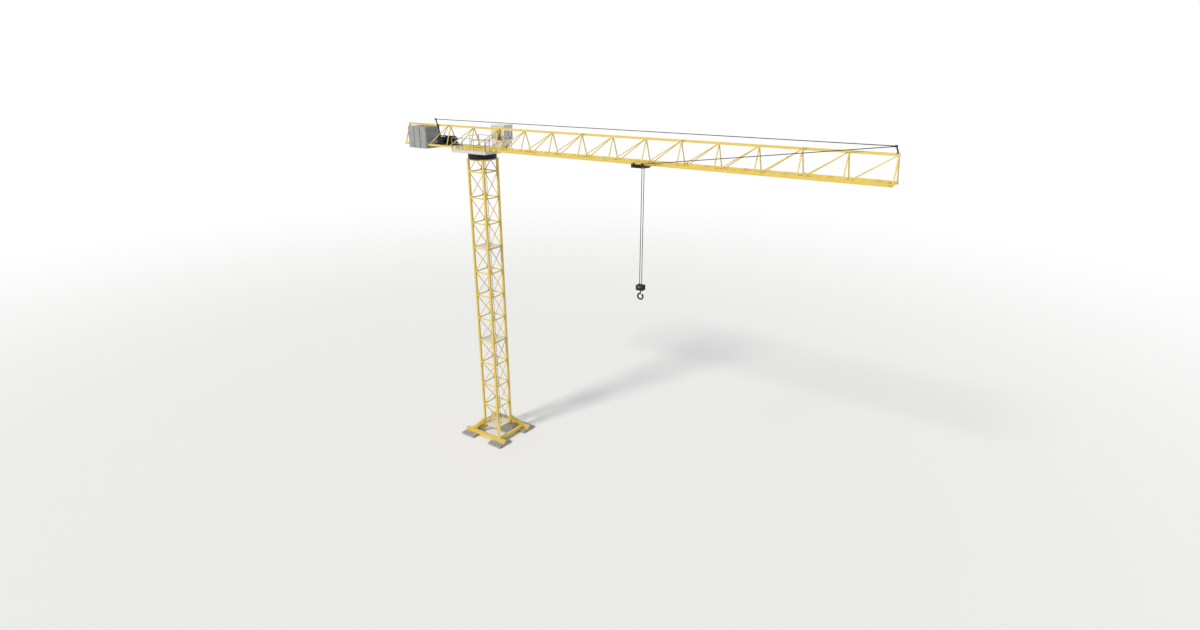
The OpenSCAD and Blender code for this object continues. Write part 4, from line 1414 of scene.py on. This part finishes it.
@dataclass
class Studio:
    """Camera, floor, backdrop and lamp. Angles are in degrees."""

    lens: float = 20.128
    place: Point = (24.034, -24.481, 19.429)
    yaw: float = 124.73
    down: float = 20.13
    floor_r: float = 260.0
    floor_z: float = -0.0005
    floor_grey: float = 0.80
    fade: tuple[float, float] = (18.0, 75.0)
    sky: Colour = (0.93, 0.96, 1.0)
    sky_strength: float = 0.55
    sun: Colour = (1.0, 0.97, 0.90)
    sun_strength: float = 2.5
    sun_size: float = 12.0
    sun_tilt: float = 49.7
    sun_turn: float = -15.9

    def link(self, name: str, data: bpy.types.ID) -> bpy.types.Object:
        """Makes an object from its data and puts it in the scene."""
        obj = bpy.data.objects.new(name, data)
        bpy.context.scene.collection.objects.link(obj)
        return obj

    def camera(self) -> None:
        """A camera at the photograph's place: it looks along yaw and down below the horizon."""
        data = bpy.data.cameras.new("camera")
        data.lens, data.sensor_width, data.clip_end = self.lens, 36.0, 500.0
        camera = self.link("camera", data)
        camera.location = self.place
        camera.rotation_euler = (math.radians(90 - self.down), 0.0, math.radians(self.yaw - 90))
        bpy.context.scene.camera = camera

    def floor(self) -> None:
        """A pale disc that turns into the white backdrop away from the object."""
        sides = 96
        mesh = bpy.data.meshes.new("floor")
        mesh.from_pydata(circle(self.floor_r, angles(sides), self.floor_z), [], [list(range(sides))])
        obj = self.link("floor", mesh)
        mat, t, shader = new_material("pale floor")
        shader.inputs["Base Color"].default_value = (self.floor_grey, self.floor_grey, self.floor_grey, 1)
        shader.inputs["Roughness"].default_value = 0.9
        away = t.add("VectorMath", {0: t.place()}, operation="LENGTH").outputs["Value"]
        share = t.times(t.seen(), t.ramp(away, *self.fade))
        white = t.add("Emission", {"Color": (1, 1, 1, 1), "Strength": 1.0})
        mix = t.add("MixShader", {0: share, 1: shader.outputs[0], 2: white.outputs[0]})
        t.feed(t.tree.nodes["Material Output"].inputs["Surface"], mix.outputs[0])
        mesh.materials.append(mat)

    def light(self) -> None:
        """A white backdrop, an even sky and one soft sun."""
        scene = bpy.context.scene
        scene.world = world = bpy.data.worlds.new("studio")
        world.use_nodes = True
        t = Tree(world.node_tree)
        sky = t.tree.nodes["Background"]
        sky.inputs["Color"].default_value = (*self.sky, 1)
        sky.inputs["Strength"].default_value = self.sky_strength
        white = t.add("Background", {"Color": (1, 1, 1, 1), "Strength": 1.0})
        mix = t.add("MixShader", {0: t.seen(), 1: sky.outputs[0], 2: white.outputs[0]})
        t.feed(t.tree.nodes["World Output"].inputs["Surface"], mix.outputs[0])
        lamp = bpy.data.lights.new("key", "SUN")
        lamp.energy, lamp.angle, lamp.color = self.sun_strength, math.radians(self.sun_size), self.sun
        key = self.link("key", lamp)
        key.rotation_euler = (math.radians(self.sun_tilt), 0.0, math.radians(self.sun_turn))
        scene.view_settings.view_transform = "Standard"

    def build(self) -> None:
        """Sets up the camera, the floor and the lamp."""
        self.camera()
        self.floor()
        self.light()


def main() -> None:
    """Builds the crane's parts in order and reports each piece."""
    logging.basicConfig(level=logging.INFO, format="%(message)s")
    maker = Maker()
    maker.dress()
    Studio().build()
    parts: tuple[Assembly, ...] = (Base(), Mast(), Slewing(), Truss(), Counter(), Winch(), Cab(), Posts(),
                                   Trolley(), HookBlock(), Ropes())
    for part in parts:
        part.build(maker)


if __name__ == "__main__":
    main()
